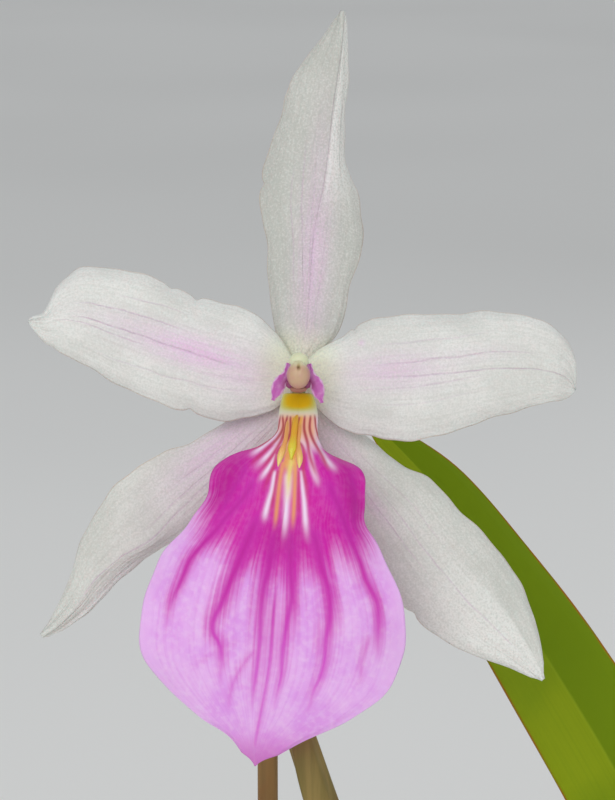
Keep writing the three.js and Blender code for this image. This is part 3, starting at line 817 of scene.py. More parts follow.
class Rail:
    """A smooth curve through a few points, in millimetres."""

    SAMPLES = 240
    STEP = 0.004
    LEAST = 1e-6

    def __init__(self, points: Sequence[Sequence[float]]) -> None:
        """Keep the points and measure the curve.

        Args:
            points: The points that the curve passes through.
        """
        self.points = [Vector(p) for p in points]
        self.seen: dict[float, Vector] = {}
        places = [self.at(k / self.SAMPLES) for k in range(self.SAMPLES + 1)]
        steps = [0.0] + [(b - a).length for a, b in zip(places, places[1:])]
        self.lengths = np.cumsum(steps)

    def at(self, share: float) -> Vector:
        """Find a point by its stations, on a curve that neither loops nor overshoots.

        Args:
            share: The share of the stations, from 0 at the first to 1 at the last.

        Returns:
            The point.
        """
        if share in self.seen:
            return self.seen[share].copy()
        last = len(self.points) - 1
        place = share * last
        start = min(int(place), last - 1)
        weight = place - start
        points = self.points
        here, there = points[start], points[start + 1]
        before = points[start - 1] if start > 0 else 2 * here - there
        after = points[start + 2] if start + 2 <= last else 2 * there - here
        first, middle, final = (max((b - a).length, self.LEAST) ** 0.5
                                for a, b in ((before, here), (here, there), (there, after)))
        leave = (here - before) / first - (there - before) / (first + middle) + (there
                                                                                 - here) / middle
        arrive = (there - here) / middle - (after - here) / (middle + final) + (after
                                                                                - there) / final
        leave, arrive = leave * middle, arrive * middle
        square = -3 * here + 3 * there - 2 * leave - arrive
        cube = 2 * here - 2 * there + leave + arrive
        point = here + leave * weight + square * weight ** 2 + cube * weight ** 3
        self.seen[share] = point
        return point.copy()

    def share_at(self, length_share: float) -> float:
        """Turn a share of the curve's length into a share of its stations."""
        wanted = length_share * self.lengths[-1]
        return float(np.interp(wanted, self.lengths, np.linspace(0, 1, self.SAMPLES + 1)))

    def along(self, length_share: float) -> Vector:
        """Give the point at a share of the curve's length."""
        return self.at(self.share_at(length_share))

    def heading(self, length_share: float) -> Vector:
        """Give the curve's direction at a share of its length."""
        low, high = max(length_share - self.STEP, 0.0), min(length_share + self.STEP, 1.0)
        return (self.along(high) - self.along(low)).normalized()


def station_value(stations: Sequence[float], share: float) -> float:
    """Read a smooth value between evenly spaced stations.

    Args:
        stations: The values at the stations.
        share: The place, from 0 at the first station to 1 at the last.

    Returns:
        The value there.
    """
    place = share * (len(stations) - 1)
    start = min(int(place), len(stations) - 2)
    weight = place - start
    before, after = stations[max(start - 1, 0)], stations[min(start + 2, len(stations) - 1)]
    here, there = stations[start], stations[start + 1]
    slope_in, slope_out = (there - before) / 2, (after - here) / 2
    square, cube = weight ** 2, weight ** 3
    curve = (2 * cube - 3 * square + 1) * here + (cube - 2 * square + weight) * slope_in
    return curve + (3 * square - 2 * cube) * there + (cube - square) * slope_out


def held(share: float) -> float:
    """Hold a share between 0 and 1."""
    return min(max(share, 0.0), 1.0)


def smooth(value: np.ndarray | float, low: float, high: float) -> np.ndarray:
    """Rise smoothly from 0 at low to 1 at high, or fall where low is the larger."""
    share = np.clip((np.asarray(value) - low) / (high - low), 0, 1)
    return share * share * (3 - 2 * share)


@dataclass(frozen=True)
class Spots:
    """The places of a sheet's points.

    They are given along the blade from 0 to 1, across it from -1 to 1, and in the flower's own
    millimetres to the right of its centre and up from it.
    """

    along: np.ndarray
    across: np.ndarray
    x: np.ndarray
    z: np.ndarray


@dataclass(frozen=True)
class Streak:
    """A painted line that follows a vein, thick at its start and thin at its end.

    Its widths are in millimetres; it fades in and out over shares of its length.
    """

    points: Pairs
    start: float = 0.32
    end: float = 0.16
    strength: float = 1.0
    fade: float = 0.25
    soft_start: float = 0.0
    steps_a_span: int = 8

    def mask(self, spots: Spots, spread: float = 1.0) -> np.ndarray:
        """Measure how strongly the streak marks each place.

        Args:
            spots: The places.
            spread: How many times wider than painted the streak is read.

        Returns:
            The strength at each place, from 0 to 1.
        """
        rail = Rail([(px, 0.0, pz) for px, pz in self.points])
        steps = self.steps_a_span * (len(self.points) - 1)
        line = [rail.at(k / steps) for k in range(steps + 1)]
        best = np.zeros_like(spots.x)
        for k, (a, b) in enumerate(zip(line, line[1:])):
            run = b - a
            right, up = spots.x - a.x, spots.z - a.z
            share = np.clip((right * run.x + up * run.z) / max(run.length_squared, 1e-9), 0, 1)
            far = np.hypot(right - share * run.x, up - share * run.z)
            along = (k + share) / steps
            width = (self.start + (self.end - self.start) * along) * spread
            level = self.strength * smooth(along, 1.0, 1.0 - self.fade)
            if self.soft_start:
                level = level * smooth(along, 0.0, self.soft_start)
            best = np.maximum(best, level * np.exp(-(far / width) ** 2))
        return best


@dataclass(frozen=True)
class Patch:
    """A soft oval of colour on the flower's face, in millimetres."""

    x: float
    z: float
    long: float
    wide: float
    angle_deg: float = 0.0
    strength: float = 1.0

    def mask(self, spots: Spots) -> np.ndarray:
        """Measure the patch's strength at each place.

        Args:
            spots: The places.

        Returns:
            The strength at each place.
        """
        turn = math.radians(self.angle_deg)
        right, up = spots.x - self.x, spots.z - self.z
        along = right * math.cos(turn) + up * math.sin(turn)
        aside = up * math.cos(turn) - right * math.sin(turn)
        return self.strength * np.exp(-((along / self.long) ** 2) - (aside / self.wide) ** 2)


def painted(streaks: Sequence[Streak], spots: Spots, spread: float = 1.0) -> np.ndarray:
    """Measure the strongest of several streaks at each place.

    Args:
        streaks: The streaks.
        spots: The places.
        spread: How many times wider than painted the streaks are read.

    Returns:
        The strength at each place, from 0 to 1.
    """
    return np.maximum.reduce([streak.mask(spots, spread) for streak in streaks])


@dataclass(frozen=True)
class FlowerFace:
    """Where the flower stands: its centre on the column and the tilt of its face."""

    centre: Point = (-28.0, -40.0, 317.0)
    tilt_deg: float = 12.0

    def world(self, point: Vector) -> Vector:
        """Carry a point from the flower's own millimetres to the row's frame in metres."""
        turn = Matrix.Rotation(math.radians(-self.tilt_deg), 3, "X")
        return (turn @ point + Vector(self.centre)) * MM


FACE = FlowerFace()


def plain_world(point: Vector) -> Vector:
    """Carry a point in millimetres to the row's frame in metres."""
    return point * MM


def new_form() -> bmesh.types.BMesh:
    """Start an empty form with a UV map for the places across and along it."""
    bm = bmesh.new()
    bm.loops.layers.uv.new("blade")
    return bm


def object_from(bm: bmesh.types.BMesh, name: str) -> bpy.types.Object:
    """Turn a finished bmesh into a smooth-shaded object at the origin, and free it.

    Args:
        bm: The bmesh.
        name: The object's name.

    Returns:
        The object.
    """
    mesh = bpy.data.meshes.new(name)
    bm.to_mesh(mesh)
    bm.free()
    mesh.shade_smooth()
    piece = bpy.data.objects.new(name, mesh)
    bpy.context.scene.collection.objects.link(piece)
    return piece


def dress(piece: bpy.types.Object, material: bpy.types.Material, slot: Slot, *nodes: str) -> None:
    """Give a piece its material, and let it stand for its CAD nodes.

    Args:
        piece: The finished piece.
        material: Its material.
        slot: The record's slot that the piece belongs to; it is not used.
        nodes: The names of the CAD nodes that it replaces.
    """
    piece.data.materials.append(material)
    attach(piece, "root")
    if nodes:
        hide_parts(*nodes)
    LOG.info("%s: %d faces", piece.name, len(piece.data.polygons))


@dataclass
class Sheet:
    """A blade between its two ends, drawn on a fine grid and given its thickness.

    The thickness, in millimetres, falls to the share thin_margin at the edges, from the place
    thin_from outwards.
    """

    name: str
    surface: Surface
    rows: int
    columns: int
    thickness: float
    to_world: Placing = plain_world
    masks: dict[str, Mask] = field(default_factory=dict)
    thin_margin: float = 0.5
    thin_from: float = 0.8

    def thicken(self, piece: bpy.types.Object, across: np.ndarray) -> None:
        """Give the blade its thickness, thinner towards its margins.

        Args:
            piece: The blade.
            across: The place of each of its points across it.
        """
        group = piece.vertex_groups.new(name="thickness")
        falling = smooth(np.abs(across), 1.0, self.thin_from)
        for index, weight in enumerate(self.thin_margin + (1 - self.thin_margin) * falling):
            group.add([index], float(weight), "REPLACE")
        solidify = piece.modifiers.new("thickness", "SOLIDIFY")
        solidify.thickness = self.thickness * MM
        solidify.offset = 0.0
        solidify.vertex_group = group.name

    def build(self) -> bpy.types.Object:
        """Make the object.

        Returns:
            A grid bent to the surface, with a UV map, its masks and a live thickness.
        """
        bm = new_form()
        bmesh.ops.create_grid(bm, x_segments=self.columns, y_segments=self.rows, size=0.5,
                              calc_uvs=True)
        across = np.array([2 * v.co.x for v in bm.verts])
        along = np.array([v.co.y + 0.5 for v in bm.verts])
        local = [self.surface(held(float(a)), float(c)) for a, c in zip(along, across)]
        spots = Spots(along, across, np.array([p.x for p in local]), np.array([p.z for p in local]))
        for vert, point in zip(bm.verts, local):
            vert.co = self.to_world(point)
        for name, mask in self.masks.items():
            layer = bm.verts.layers.float.new(name)
            for vert, value in zip(bm.verts, mask(spots)):
                vert[layer] = float(value)
        bm.normal_update()
        piece = object_from(bm, self.name)
        self.thicken(piece, across)
        return piece


def roll_tube(bm: bmesh.types.BMesh, route: Sequence[Sequence[float]], radii: Sequence[float],
              sides: int, steps: int, to_world: Placing = plain_world,
              section: Section = lambda along, turn: 1.0,
              marks: dict[str, float] | None = None) -> None:
    """Add a round stem to a bmesh: a grid rolled up round a route, sewn at its seam and closed.

    Args:
        bm: The bmesh that receives the stem.
        route: The points that its middle passes through, in millimetres.
        radii: Its radius at evenly spaced stations.
        sides: How many faces go round it.
        steps: How many faces go along it.
        to_world: Carries millimetres to the row's frame.
        section: A factor on the radius at a share of the length and a turn in radians.
        marks: Number attributes with their value.
    """
    rail = Rail(route)
    layers = {name: bm.verts.layers.float.get(name) or bm.verts.layers.float.new(name)
              for name in marks or {}}
    made = bmesh.ops.create_grid(bm, x_segments=sides, y_segments=steps, size=0.5,
                                 calc_uvs=True)["verts"]
    rows = sorted({round(v.co.y, 6) for v in made})
    frames: dict[float, tuple[Vector, Vector, Vector]] = {}
    normal = rail.heading(0.0).orthogonal().normalized()
    for row in rows:
        share = held(row + 0.5)
        heading = rail.heading(share)
        normal = (normal - heading * normal.dot(heading)).normalized()
        frames[row] = (rail.along(share), normal.copy(), heading.cross(normal))
    for vert in made:
        row = round(vert.co.y, 6)
        share, turn = held(row + 0.5), 2 * math.pi * (vert.co.x + 0.5)
        centre, out, side = frames[row]
        radius = station_value(radii, share) * section(share, turn)
        for name, layer in layers.items():
            vert[layer] = marks[name]
        vert.co = to_world(centre + (out * math.cos(turn) + side * math.sin(turn)) * radius)
    bmesh.ops.remove_doubles(bm, verts=made, dist=1e-7)
    edges = [e for e in bm.edges if e.is_boundary]
    bmesh.ops.holes_fill(bm, edges=edges, sides=0)
    bmesh.ops.recalc_face_normals(bm, faces=bm.faces)


def turn_profile(bm: bmesh.types.BMesh, profile: Sequence[tuple[float, float]], steps: int) -> None:
    """Spin a profile about the upright into a closed form.

    Args:
        bm: The bmesh that receives the form.
        profile: The profile's (radius, height) points, in millimetres.
        steps: How many faces go round the form.
    """
    verts = [bm.verts.new((radius * MM, 0.0, height * MM)) for radius, height in profile]
    edges = [bm.edges.new(pair) for pair in zip(verts, verts[1:])]
    bmesh.ops.spin(bm, geom=verts + edges, cent=(0, 0, 0), axis=(0, 0, 1), angle=2 * math.pi,
                   steps=steps, use_merge=True)
    bmesh.ops.remove_doubles(bm, verts=bm.verts, dist=1e-6)
    bmesh.ops.recalc_face_normals(bm, faces=bm.faces)


def smooth_profile(profile: Pairs, radius: float, height: float,
                   steps: int = 40) -> list[tuple[float, float]]:
    """Draw a smooth profile through a few (out, up) shares and give it its size.

    Args:
        profile: The shares of the radius and the height, from the foot to the top.
        radius: The greatest radius, in millimetres.
        height: The height, in millimetres.
        steps: How many points the profile gets.

    Returns:
        The (radius, height) points, in millimetres.
    """
    rail = Rail([(out, 0.0, up) for out, up in profile])
    places = [rail.at(k / steps) for k in range(1, steps)]
    inner = [(max(p.x, 0.0) * radius, held(p.z) * height) for p in places]
    return [(0.0, profile[0][1] * height), *inner, (0.0, profile[-1][1] * height)]


@dataclass(frozen=True)
class Rails:
    """The two edges and the keel of a flower part, base to tip, in the flower's own millimetres.

    Each point is its distance to the right, away from the viewer, and up from the flower's centre.
    """

    left: Route
    keel: Route
    right: Route


DORSAL_SEPAL = Rails(
    left=((-0.6, 4.2, 1), (-2.7, 5.2, 4.7), (-3.6, 6.6, 10.6), (-4, 7.6, 16.5), (-4.8, 8.4, 21.8),
        (-4, 8.9, 26.2), (-1.9, 9, 32.6), (-0.9, 8.8, 36), (2.6, 7.8, 40.7), (5, 6.4, 44)),
    keel=((0, 4.2, 1.3), (0.7, 4.6, 4.7), (1.2, 5.4, 10), (1.6, 6.2, 16.2), (2.4, 6.8, 20.6),
        (3.3, 7.2, 26), (3.9, 7.2, 32.1), (4.4, 7, 35.8), (5, 6.4, 40.5), (5.3, 5.8, 44.1)),
    right=((0.6, 4.2, 1), (4.6, 5.2, 4.7), (6.2, 6.4, 10.6), (7.8, 7.8, 16.5), (7.1, 8.8, 21.8),
        (5.6, 9.2, 26.2), (5.6, 9.2, 32.6), (6, 8.8, 36), (5.8, 7.4, 40.6), (5.6, 6.2, 44)),
)
LEFT_PETAL = Rails(
    left=((-0.3, 2.8, 0.6), (-2.4, 2.6, 4.1), (-5.1, 2.8, 6.8), (-8.4, 3.2, 8.2), (-12.5, 3.4, 9.1),
        (-16.9, 3.6, 11.1), (-21.5, 4, 12.4), (-26.6, 4.4, 12.6), (-29.3, 4.6, 10.5),
          (-31, 4.4, 7.2),
        (-32.7, 4.4, 6.5)),
    keel=((-0.3, 2.8, -0.6), (-2.7, 2.6, 0.1), (-5.5, 1.9, 0.7), (-8.9, 1.4, 1.6),
          (-12.6, 1.2, 2.7),
        (-17, 1.5, 4.1), (-21.4, 2.2, 5.5), (-25.8, 3, 6.7), (-28.6, 3.6, 6.8), (-30.9, 4, 6.2),
        (-32.8, 4.4, 6.2)),
    right=((-0.3, 2.8, -1.8), (-2.8, 2.8, -4.3), (-5.9, 2.8, -5.4), (-9.4, 2.6, -5.8),
        (-13.2, 2.8, -4.8), (-17.4, 3, -3.5), (-21.9, 3.2, -1.4), (-26.3, 3.6, 1.1),
           (-29.3, 4, 2.7),
        (-31.1, 4.2, 3.9), (-32.7, 4.4, 5.9)),
)
RIGHT_PETAL = Rails(
    left=((0.3, 2.8, -1.8), (2.9, 2.8, -4.9), (5.2, 2.6, -6.8), (7.8, 2.4, -7.5), (11, 2.4, -8.1),
        (15.1, 2.6, -8.1), (19.2, 3, -6.9), (23.5, 3.4, -5.5), (27.8, 3.8, -4.2), (30.9, 4.6, -3.5),
        (32.6, 5.4, -3.1), (33.5, 5.8, -2.5)),
    keel=((0.3, 2.8, -0.6), (2.5, 2.6, -0.9), (5.2, 1.9, -0.8), (7.7, 1.4, -0.7), (11, 1.2, -0.5),
        (15.1, 1.4, -0.2), (19.2, 1.8, 0.2), (23.5, 2.4, 0.6), (28, 3.2, 0.7), (31.1, 4, 0.2),
        (32.7, 5, -0.7), (33.5, 5.8, -2.1)),
    right=((0.3, 2.8, 0.6), (2.3, 2.6, 2.6), (4.9, 2.6, 4), (7.1, 2.8, 5.6), (10.3, 3.2, 6.7),
        (14.6, 3.4, 6.9), (19.5, 3.6, 7.1), (24.1, 4, 7.3), (28.7, 4.4, 6.5), (31.8, 4.8, 4.7),
        (33.5, 5.4, 1.9), (33.6, 5.8, -1.5)),
)
LEFT_SEPAL = Rails(
    left=((-0.8, 4.2, -2.9), (-4.5, 5.2, -3.8), (-8.2, 6.2, -5.7), (-12.7, 7, -8.3),
          (-17.1, 7.6, -10.1),
        (-21.4, 8, -12.8), (-24.4, 8.2, -16.4), (-26.6, 7.8, -20.5), (-28.3, 7.2, -25.9),
        (-30.4, 6.4, -30.3), (-31.5, 5.8, -32)),
    keel=((-0.6, 4.2, -3.4), (-3.3, 4.4, -6), (-6.3, 4.6, -9), (-10.2, 5, -12.7),
          (-14.1, 5.4, -16.5),
        (-18.2, 5.6, -20.5), (-21.8, 5.8, -22.5), (-24.8, 5.8, -25.2), (-27.1, 5.6, -28.3),
        (-29.6, 5.4, -30.8), (-31.4, 5.4, -32.1)),
    right=((-0.4, 4.2, -3.8), (-1.8, 5, -7.3), (-4.3, 5.6, -11.2), (-7.5, 6.2, -15.1),
        (-11.4, 6.8, -18.8), (-16.3, 7.4, -21.1), (-19.7, 7.4, -23.3), (-23.3, 7.2, -26.7),
        (-26.2, 6.8, -29.6), (-29.2, 6.2, -31.5), (-31.2, 5.7, -32.3)),
)
RIGHT_SEPAL = Rails(
    left=((0.4, 4.2, -3.8), (0.9, 5, -7.3), (1.9, 5.6, -11.4), (4.3, 6.2, -16.2), (7.2, 6.8, -21.2),
        (10.9, 7.2, -26.6), (14.8, 7.6, -30.5), (19.2, 7.6, -33.6), (25.3, 7.2, -35.9),
        (29.3, 6.6, -37.6)),
    keel=((0.6, 4.2, -3.4), (2.3, 4.4, -5.5), (5, 4.6, -9), (8, 5, -12.4), (11.3, 5.2, -16.4),
        (15.2, 5.4, -21.8), (19.4, 5.8, -27.1), (23.5, 6.2, -31.1), (27, 6.4, -34.6),
          (29.8, 6.4, -37.5)),
    right=((0.8, 4.2, -2.9), (3.8, 5, -4.6), (7.9, 6, -7.6), (11.7, 6.6, -10.9), (16, 7.2, -13.2),
        (20, 7.8, -17.3), (24.6, 8.2, -22.1), (27.5, 8, -26.7), (29.2, 7.4, -31.8),
           (30, 6.6, -36.8)),
)
LIP = Rails(
    left=((-1.95, 0.9, -2.75), (-2.3, -0.3, -4.9), (-2.5, -2, -7), (-4.4, -3, -8.8),
          (-7.3, -2.6, -9.8),
        (-10, -2.6, -11.3), (-10.7, -3.6, -14.6), (-12.9, -4.4, -17.7), (-15.6, -5, -21.1),
        (-17.7, -5.4, -25), (-18.7, -5.4, -29.4), (-18.1, -5.2, -34.2), (-15.5, -5.2, -37.4),
        (-11.7, -4.8, -40.8), (-8.1, -4.2, -43.4), (-5.9, -3.6, -46.5)),
    keel=((-0.1, 0.9, -2.75), (-0.1, -0.8, -5), (-0.2, -2.6, -7.1), (-0.6, -4.4, -9.3),
        (-0.8, -5.4, -11.2), (-1.2, -6, -13.3), (-1.6, -6.4, -16.1), (-2.1, -6.6, -19.1),
        (-2.6, -6.8, -22.6), (-2.9, -6.8, -26.4), (-3.2, -6.8, -30.4), (-3.5, -6.6, -34.3),
        (-4, -6.2, -37.4), (-4.5, -5.6, -40.5), (-5, -4.8, -43.5), (-5.2, -3.6, -46.7)),
    right=((1.65, 0.9, -2.75), (2.2, -0.3, -4.9), (2.1, -2, -7.1), (2.7, -3, -9.1),
           (5, -2.6, -10.6),
        (7.5, -2.6, -11.9), (7.9, -3.6, -14.4), (7.5, -4.4, -17.1), (9.2, -5, -20.3),
           (11, -5.4, -24.4),
        (12.7, -5.4, -29.4), (12.1, -5.2, -34.1), (10.1, -5.2, -38.2), (6.1, -4.8, -41.1),
        (0.1, -4.2, -44), (-4.3, -3.6, -46.6)),
)


@dataclass
class RailSheet:
    """The surface of a flower part between its rails, with the life of its margins.

    Belly, wave, ruffle, roll and the notches' depths are in millimetres.
    """

    rails: Rails
    belly: float = 0.0
    wave: float = 0.0
    waves: float = 3.0
    phase: float = 0.0
    ruffle: float = 0.1
    roll: tuple[float, float] = (0.0, 0.0)
    roll_from: float = 0.68
    roll_span: float = 0.32
    notches: tuple[tuple[int, float, float], ...] = ()
    notch_length: float = 0.012
    ripples: tuple[float, float] = (41.0, 73.0)
    fine_share: float = 0.7
    tip_share: float = 0.03
    tip_least: float = 0.08
    right_phase: float = 1.7
    belly_end: float = 1.1

    def __post_init__(self) -> None:
        """Draw the three rails."""
        self.curves = [Rail(points) for points in (self.rails.left, self.rails.keel,
                                                   self.rails.right)]

    def edge_change(self, along: float, out: float, side: int) -> float:
        """Ruffle the margin and cut its notches.

        Args:
            along: The share of the way from base to tip.
            out: The place from the keel, 0, to the edge, 1.
            side: -1 on the left, 1 on the right.

        Returns:
            How far the surface's point moves outwards, in millimetres.
        """
        coarse, fine = self.ripples
        wobble = math.sin(coarse * along + 2 * side) + self.fine_share * math.sin(fine * along
                                                                                  + self.phase)
        change = self.ruffle * wobble * out ** 4 * math.sin(math.pi * along)
        for which, place, depth in self.notches:
            if which == side:
                change -= depth * out ** 6 * math.exp(-((along - place) / self.notch_length) ** 2)
        return change

    def __call__(self, along: float, across: float) -> Vector:
        """Find the surface's point.

        Args:
            along: The share of the way from base to tip.
            across: The place from the left edge, -1, over the keel, 0, to the right edge, 1.

        Returns:
            The point in the flower's own millimetres.
        """
        middle = self.curves[1].at(along)
        side = -1 if across < 0 else 1
        edge = self.curves[1 + side].at(along)
        out, full = abs(across), math.sin(math.pi * along)
        reach = out + self.edge_change(along, out, side) / max((edge - middle).length, 1)
        narrowing = min((1 - along) / self.tip_share + self.tip_least, 1)
        point = middle.lerp(edge, reach * narrowing)
        swell = self.belly * math.sin(math.pi * out) * math.sin(math.pi
                                                                * min(along * self.belly_end, 1))
        turns = 2 * math.pi * self.waves * along + self.phase + (0 if side < 0
                                                                 else self.right_phase)
        rolled = max((out - self.roll_from) / self.roll_span, 0) ** 2
        curl = self.roll[0 if side < 0 else 1] * rolled * full ** 0.5
        point.y += self.wave * out ** 3 * full * math.sin(turns) - swell + curl
        return point


@dataclass
class Tepal:
    """One sepal or petal.

    The light gives the places across and along the blade between which painted light comes up on
    one side of its crease.
    """

    node: str
    surface: RailSheet
    finish: TepalFinish
    flushes: tuple[Patch, ...]
    light: tuple[float, float, float, float]
    painted_light_share: float = 0.5
    throat_share: float = 0.8
    throat_near: float = 2.0
    throat_far: float = 7.0
    thickness: float = 0.62
    rows: int = 140
    columns: int = 60

    def flush_mask(self, spots: Spots) -> np.ndarray:
        """Colour the flush."""
        return np.maximum.reduce([patch.mask(spots) for patch in self.flushes])

    def painted_light_mask(self, spots: Spots) -> np.ndarray:
        """Paint light on the part of the blade on one side of its crease, as if that side caught
        more light.
        """
        dark, bright, begins, full = self.light
        return self.painted_light_share * smooth(spots.across, dark, bright) * smooth(spots.along, begins,
                                                                              full)

    def throat_mask(self, spots: Spots) -> np.ndarray:
        """Tint the flesh green-yellow close to the column."""
        away = np.hypot(spots.x, spots.z)
        return self.throat_share * smooth(away, self.throat_far, self.throat_near)

    def build(self) -> None:
        """Build the blade and dress it."""
        masks = {"flush": self.flush_mask, "light": self.painted_light_mask, "throat": self.throat_mask}
        sheet = Sheet(f"{self.node}_flesh", self.surface, self.rows, self.columns, self.thickness,
                      FACE.world, masks)
        dress(sheet.build(), self.finish.build(), Slot.TEPAL, self.node)


@dataclass
class Perianth:
    """The flower's three sepals and two petals."""

    def tepals(self) -> list[Tepal]:
        """List the five with their places and markings.

        Returns:
            The sepals and petals, each with its margins, its veins, its flushes and its painted
            light.
        """
        return [
            Tepal("dorsal_sepal", RailSheet(DORSAL_SEPAL, 0.6, 0.4, 2, 1, roll=(0.3, 0.2),
                                            notches=((-1, 0.48, 0.3),)),
                  # The dorsal sepal's darker flesh and shade colours are painted shade on the same
                  # white flesh as the petals
                  TepalFinish("dorsal sepal flesh", flesh="#C4C5BF", shade="#B0B3AB", hairs=(
                      Hair(0.51, 0.53, 0.08, 0.94, 0.6), Hair(0.44, 0.31, 0.2, 0.6, 0.5),
                      Hair(0.53, 0.42, 0.16, 0.56, 0.45), Hair(0.32, 0.25, 0.2, 0.55, 0.4),
                      Hair(0.62, 0.64, 0.12, 0.42, 0.3))),
                  (Patch(1.7, 13.5, 11, 1.9, 86, 0.52), Patch(2.3, 24, 8, 1.5, 84, 0.25)),
                  (0.06, 0.16, 0.35, 0.6), 0.6),
            Tepal("left_petal", RailSheet(LEFT_PETAL, 0.5, 0.5, 3, 0.4, roll=(0.9, 0.3),
                                          notches=((-1, 0.47, 0.35), (-1, 0.4, 0.5),
                                                   (1, 0.4, 0.35))),
                  TepalFinish("left petal flesh", hairs=(
                      Hair(0.545, 0.505, 0.28, 0.76, 0.75), Hair(0.36, 0.355, 0.42, 0.74, 0.6),
                      Hair(0.2, 0.245, 0.42, 0.62, 0.4), Hair(0.6, 0.55, 0.5, 0.84, 0.5),
                      Hair(0.73, 0.8, 0.2, 0.68, 0.3), Hair(0.64, 0.66, 0.15, 0.45, 0.25))),
                  (Patch(-12.4, 2.4, 7.5, 1.9, 163, 0.75), Patch(-8, 0.6, 6, 2.8, 158, 0.4),
                   Patch(-18, 5, 7, 1.4, 165, 0.35)), (2, 3, 0, 1), 0.0),
            Tepal("right_petal", RailSheet(RIGHT_PETAL, 0.5, 0.5, 3, 2, roll=(0.2, 0.8),
                                           notches=((1, 0.26, 0.4), (-1, 0.975, 0.5))),
                  TepalFinish("right petal flesh", hairs=(
                      Hair(0.505, 0.45, 0.3, 0.95, 0.6), Hair(0.6, 0.64, 0.32, 0.74, 0.5),
                      Hair(0.755, 0.8, 0.34, 0.62, 0.3), Hair(0.39, 0.43, 0.24, 0.62, 0.4),
                      Hair(0.27, 0.3, 0.3, 0.6, 0.2))),
                  (Patch(11.5, 0.2, 6, 2.2, 3, 0.45), Patch(18, 1.6, 7, 1.2, 8, 0.15),
                   Patch(7.6, 3.4, 0.4, 0.4, 0, 0.5)), (2, 3, 0, 1), 0.0),
            Tepal("left_lateral_sepal", RailSheet(LEFT_SEPAL, 0.4, 0.3, 2, 0),
                  # The slightly darker flesh and shade colours are painted shade on the same white
                  # flesh as the petals
                  TepalFinish("left lateral sepal flesh", flesh="#D6D6D0", shade="#BEC0B8", hairs=(
                      Hair(0.5, 0.5, 0.06, 0.8, 0.6), Hair(0.4, 0.42, 0.1, 0.5, 0.5),
                      Hair(0.6, 0.6, 0.1, 0.45, 0.45), Hair(0.28, 0.3, 0.15, 0.42, 0.35))),
                  (Patch(-9, -8.6, 9, 3.0, 40, 0.5),), (0.5, 0.62, 0.3, 0.5), 0.5),
            Tepal("right_lateral_sepal", RailSheet(RIGHT_SEPAL, 0.5, 0.4, 2, 2, roll=(0.2, 0.4),
                                                   notches=((-1, 0.64, 0.3),)),
                  # The slightly darker flesh and shade colours are painted shade on the same white
                  # flesh as the petals
                  TepalFinish("right lateral sepal flesh", flesh="#D2D3CD", shade="#BCBFB7", hairs=(
                      Hair(0.5, 0.52, 0.1, 0.9, 0.4), Hair(0.36, 0.4, 0.2, 0.6, 0.45),
                      Hair(0.66, 0.68, 0.15, 0.6, 0.3))),
                  (Patch(8.4, -15.2, 4, 1.0, -52, 0.35), Patch(4.4, -8.6, 5, 2.4, -50, 0.3)),
                  (0.46, 0.36, 0.5, 0.8), 0.45),
        ]

    def build(self) -> None:
        """Build all five."""
        for tepal in self.tepals():
            tepal.build()


